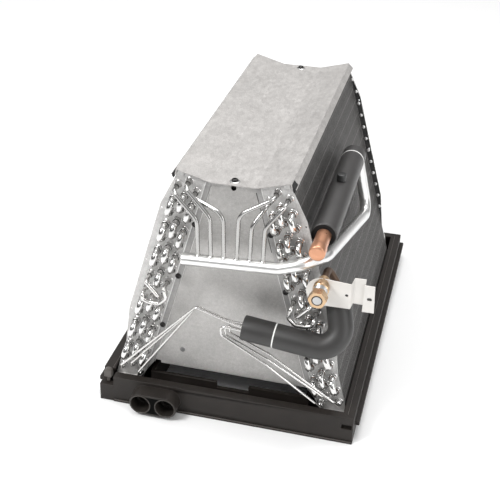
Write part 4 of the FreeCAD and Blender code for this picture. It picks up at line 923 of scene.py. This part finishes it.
# Painted shade: a black ring round the plug
nut.lathe([(5.5, NUT_FRONT - 0.12), (6.9, NUT_FRONT - 0.12)], FITTING, BACKWARD, 28, 1)
nut.piece("fitting_hex_nut", [M_BRASS, M_BLACK_SCREW_AND_SHADE], ["fitting_nut"], "brass", smooth=12)
plug = Build()
plug.lathe(PLUG, (FITTING_X, FITTING_Y + NUT_FRONT, FITTING_Z), BACKWARD, 28)
plug.piece("fitting_plug_face", [M_PLUG], ["fitting_plug"], "white_plug")

# Distributor tubes: row, side and place round the distributor in degrees. The left three go by two points
# and the right three by three points, in X and Z, each tube set apart by its spread
DISTRIBUTOR_TUBES = ((0, -1, 150), (1, -1, 90), (2, -1, 30), (2, 1, 210), (1, 1, 270), (0, 1, 330))
CIRCLE_R = 5.2
SMALL_R, SMALL_BEND = 1.6, 5.5
LEFT_SPREAD, LEFT_FALL = 3.6, -0.4
LEFT_NEAR_X, LEFT_NEAR_Z = 8.7, 167.5
LEFT_FAR_X, LEFT_FAR_Z, LEFT_FAR_BEHIND = -37.0, 181.0, 2.0
RIGHT_SPREAD, RIGHT_RISE, CIRCLE_SHARE = 4.5, 1.3, 0.6
RIGHT_TOP_X, RIGHT_TOP_Z = 2.0, 163.5
RIGHT_DROP_X, RIGHT_DROP_Z = 3.0, 149.5
RIGHT_FAR_X, RIGHT_FAR_Z = 60.0, 119.0
END_ASIDE, END_OUT, END_ABOVE, END_STRAIGHT = 5.0, 24.0, 15.0, 11.0
sideways = liquid_way.cross(Vector(BACKWARD)).normalized()
for i, (row, side, place) in enumerate(DISTRIBUTOR_TUBES):
    end_x, end_z = tube_spot(row, PER_ROW - 1, side)
    angle = math.radians(place)
    off = sideways * (CIRCLE_R * math.sin(angle)) + Vector(BACKWARD) * (CIRCLE_R * math.cos(angle))
    if side < 0:
        spread = (i - 1) * LEFT_SPREAD
        y = LIQUID_Y + spread
        points = [(LEFT_NEAR_X, y, LEFT_NEAR_Z + LEFT_FALL * spread),
                  (LEFT_FAR_X, y + LEFT_FAR_BEHIND, LEFT_FAR_Z + LEFT_FALL * spread)]
    else:
        spread = (i - 4) * RIGHT_SPREAD
        y = LIQUID_Y + spread
        above = off.z * CIRCLE_SHARE
        points = [(RIGHT_TOP_X + spread, y, RIGHT_TOP_Z + above),
                  (RIGHT_DROP_X + spread, y, RIGHT_DROP_Z + above),
                  (RIGHT_FAR_X, y, RIGHT_FAR_Z + RIGHT_RISE * spread)]
    points.insert(0, distributor_face + off - liquid_way * 0.7)
    points += [(end_x - side * END_ASIDE, FRONT_OUT - END_OUT, end_z + END_ABOVE),
               (end_x, FRONT_OUT - END_STRAIGHT, end_z), (end_x, FRONT_OUT, end_z)]
    tube = Build()
    tube.sweep(smooth_route(points, SMALL_BEND), SMALL_R, 14)
    small_socket(tube, row, PER_ROW - 1, side, SMALL_R)
    tube.piece(f"small_tube_{i + 1}", [M_SMALL_TUBE, M_SOCKET, M_RING_SHADE], [f"distributor_tube_{i + 1}"],
               "tube_aluminium")


# Screws
def pan_head(build, spot, axis, radius, height, slot=0, slotted=False):
    """Pan head with a recess sunk as a cross, or as one slot."""
    spot, axis = Vector(spot), Vector(axis)
    r = radius
    build.lathe([(r, 0), (r, height * 0.35), (r * 0.95, height * 0.62), (r * 0.82, height * 0.84),
                 (r * 0.64, height * 0.96), (r * 0.5, height)], spot, axis, 28, slot)
    across = axis.orthogonal().normalized()
    up = axis.cross(across)
    top = spot + axis * height
    deep = spot + axis * height * 0.35
    half_arm, reach, steps = 0.62, r * 0.46, 32
    outline = []
    for j in range(steps):
        t = 2 * math.pi * j / steps
        off_arm = abs(math.sin(t)) if slotted else min(abs(math.cos(t)), abs(math.sin(t)))
        spoke = min(reach, half_arm / max(off_arm, 0.05))
        outline.append((across * math.cos(t) + up * math.sin(t)) * spoke)
    rim = [top + v for v in circle(across, up, r * 0.5, steps)]
    verts = rim + [top + v for v in outline] + [deep + v * 0.7 for v in outline]
    build.add(verts, ring_faces(3, steps) + [tuple(range(2 * steps, 3 * steps))], slot)


PLATE_SCREW_INSET, FIRST_PLATE_SCREW, PLATE_SCREW_GAP = 41.8, 66.5, 84.0
SLOT_SCREW_X, SLOT_SCREW_Z = -66.9, 82.4
front_screws = Build()
rear_screws = Build()
for side in (-1, 1):
    for i in range(3):
        x, z = slab_point(FIRST_PLATE_SCREW + i * PLATE_SCREW_GAP, PLATE_SCREW_INSET, side)
        pan_head(front_screws, (x, FRONT_OUT, z), FORWARD, 4.0, 2.2)
        pan_head(rear_screws, (x, REAR_OUT, z), BACKWARD, 3.6, 2.2)
pan_head(front_screws, (SLOT_SCREW_X, FRONT_Y, SLOT_SCREW_Z), FORWARD, 3.4, 1.8, slot=1, slotted=True)
front_screws.piece("plate_screws_front", [M_BLACK_SCREW_AND_SHADE, M_SLOT_SCREW], ["front_delta_screws"], "dark_screw")
rear_screws.piece("plate_screws_rear", [M_BLACK_SCREW_AND_SHADE], ["rear_delta_screws"], "dark_screw")

# Cover screws with their bright washers
COVER_SCREW_Y = (-221.0, 198.0)
SHANK_POINTS, SHANK_STEP, SHANK_END = 28, 0.55, -15.6
cover_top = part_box("cover_washers")[0][2] / MM
washers = Build()
lid_screws = Build()
for y in COVER_SCREW_Y:
    washers.lathe([(2.3, 1.0), (5.9, 1.0), (6.4, 0.6), (6.4, 0.0)], (0, y, cover_top), UPWARD, 36)
    pan_head(lid_screws, (0, y, cover_top + 0.9), UPWARD, 4.3, 3.3)
    shank = [(2.0 if i % 2 else 1.5, -SHANK_STEP * i) for i in range(SHANK_POINTS)]
    lid_screws.lathe(shank + [(0, SHANK_END)], (0, y, cover_top + 0.8), UPWARD, 16)
washers.piece("lid_washers", [M_STEEL], ["cover_washers"], "zinc")
lid_screws.piece("lid_screws", [M_BLACK_SCREW_AND_SHADE], ["cover_screws"], "dark_screw")

# Clip in the pan's corner: a square stem and a head with a round top
CLIP_X, CLIP_Y, CLIP_Z = -167.5, -250.5, 26.0
STEM_HALF, STEM_HEIGHT = 2.5, 9.0
HEAD_HALF, HEAD_DEPTH, HEAD_RISE = 5.5, 4.0, 5.2
HEAD_LOW, HEAD_SHOULDER = CLIP_Z + 8.0, CLIP_Z + 15.8
clip = Build()
clip.block((CLIP_X - STEM_HALF, CLIP_Y - STEM_HALF, CLIP_Z),
           (CLIP_X + STEM_HALF, CLIP_Y + STEM_HALF, CLIP_Z + STEM_HEIGHT))
head = [(CLIP_X - HEAD_HALF, HEAD_LOW), (CLIP_X + HEAD_HALF, HEAD_LOW), (CLIP_X + HEAD_HALF, HEAD_SHOULDER)]
head += [(CLIP_X + HEAD_HALF * math.cos(t), HEAD_SHOULDER + HEAD_RISE * math.sin(t))
         for t in (0.5, 1.0, 1.57, 2.14, 2.64)]
head.append((CLIP_X - HEAD_HALF, HEAD_SHOULDER))
clip.prism(head, CLIP_Y - HEAD_DEPTH, CLIP_Y + HEAD_DEPTH)
clip.piece("corner_clip", [M_PAN_EDGE], ["pan_clip"], "pan_plastic", bevel=0.8)

# Rims of the drain mouths in a lighter plastic as a painted highlight, and the recess between them as a black
# plate of painted shade
DRAIN_X, DRAIN_GAP, DRAIN_Z, BOSS_Y = -111.2, 35.2, 20.0, -282.5
MOUTH_RIM = ((13.3, 0.0), (13.3, 0.5), (13.6, 0.8), (14.4, 0.8), (14.8, 0.5), (14.8, 0.0))
WAIST_R = 15.0
mouths = Build()
for x in (DRAIN_X, DRAIN_X + DRAIN_GAP):
    mouths.lathe(MOUTH_RIM, (x, BOSS_Y, DRAIN_Z), FORWARD, 48)
waist = arc(DRAIN_X, DRAIN_Z, WAIST_R, -60, 60, 12)
waist += [(2 * DRAIN_X + DRAIN_GAP - x, z) for x, z in reversed(waist)]
mouths.prism(waist, BOSS_Y - 0.2, BOSS_Y + 0.6, 1)
mouths.piece("drain_mouth_rims", [M_MOUTH_HIGHLIGHT, M_RECESS_SHADE], slot="pan_plastic")

# Edges of the pan in lighter plastic as painted highlights: along the foot of its front wall, and along its
# rims as X, range in Y and radius
PAN_FOOT_Y, PAN_FOOT_Z, PAN_FOOT_R = -261.7, 3.4, 0.8
RIM_EDGES = ((-176.6, -239.0, 258.0, 0.45), (-164.6, -239.0, 245.0, 0.45), (168.4, -252.0, 252.0, 0.40))
pan_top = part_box("drain_pan")[1][2] / MM
edges = Build()
edges.sweep([Vector((x, PAN_FOOT_Y, PAN_FOOT_Z)) for x in (-156.0, 0.0, 176.5)], PAN_FOOT_R, 8)
for x, first, last, radius in RIM_EDGES:
    edges.sweep([Vector((x, y, pan_top)) for y in (first, 0.0, last)], radius, 8)
edges.piece("pan_edge_highlights", [M_PAN_EDGE], slot="pan_plastic")

# Floor
FLOOR_HALF = 30.0
floor = bpy.data.meshes.new("floor")
corners = [(x * FLOOR_HALF, y * FLOOR_HALF, 0) for x, y in ((-1, -1), (1, -1), (1, 1), (-1, 1))]
floor.from_pydata(corners, [], [(0, 1, 2, 3)])
floor_obj = bpy.data.objects.new("floor", floor)
bpy.context.scene.collection.objects.link(floor_obj)
floor.materials.append(matte("studio_floor", (0.92, 0.92, 0.92), 0.8, (20.0, 0.0, 0.0004), variation=1.0))

# Sky, as stops of brightness from the horizon to the zenith
SKY = [(0.0, 0.55), (0.14, 0.10), (0.27, 0.14), (0.42, 0.60), (0.62, 0.85), (1.0, 1.0)]
world = bpy.data.worlds.new("studio")
bpy.context.scene.world = world
world.use_nodes = True
sky_tree = world.node_tree
background = sky_tree.nodes["Background"]
sky = sky_tree.nodes.new("ShaderNodeTexCoord")
split = sky_tree.nodes.new("ShaderNodeSeparateXYZ")
sky_tree.links.new(sky.outputs["Generated"], split.inputs["Vector"])
sky_tree.links.new(ramp(sky_tree, split.outputs["Z"], SKY), background.inputs["Color"])
background.inputs["Strength"].default_value = 0.85

# Lights: name, place, target, size and power
LIGHTS = (("key", (-1.3, -1.5, 2.2), (0, 0, 0.15), (0.9, 0.9), 52),
          ("fill", (2.0, -1.2, 0.9), (0, 0, 0.15), (0.6, 1.6), 16),
          ("top", (0.2, 0.4, 2.4), (0, 0, 0.2), (1.2, 1.2), 30))
for name, place, target, size, power in LIGHTS:
    light = bpy.data.lights.new(name, "AREA")
    light.shape = "RECTANGLE"
    light.size, light.size_y = size
    light.energy = power
    obj = bpy.data.objects.new(name, light)
    obj.location = place
    obj.rotation_euler = (Vector(target) - Vector(place)).to_track_quat("-Z", "Y").to_euler()
    bpy.context.scene.collection.objects.link(obj)

# Camera, solved from the photo's corners of the pan, the cover and the slabs; lengths in pixels and metres
PHOTO_SIZE, FOCAL_LENGTH, SENSOR = 500.0, 1085.64, 36.0
CAMERA_PLACE = (0.2885, -1.4002, 0.9445)
camera_data = bpy.data.cameras.new("camera")
camera_data.sensor_width = SENSOR
camera_data.lens = FOCAL_LENGTH * SENSOR / PHOTO_SIZE
camera_data.shift_x = 0.0837
camera_data.shift_y = -0.0557
camera_data.clip_start = 0.05
camera_data.clip_end = 100.0
camera = bpy.data.objects.new("camera", camera_data)
right = Vector((0.96325, 0.26847, 0.00880))
down = Vector((0.13530, -0.45662, -0.87931))
ahead = Vector((-0.23205, 0.84819, -0.47616))
turn = Matrix((right, -down, -ahead)).transposed()
camera.matrix_world = Matrix.Translation(CAMERA_PLACE) @ turn.to_4x4()
bpy.context.scene.collection.objects.link(camera)
bpy.context.scene.camera = camera
bpy.context.scene.view_settings.view_transform = "Standard"
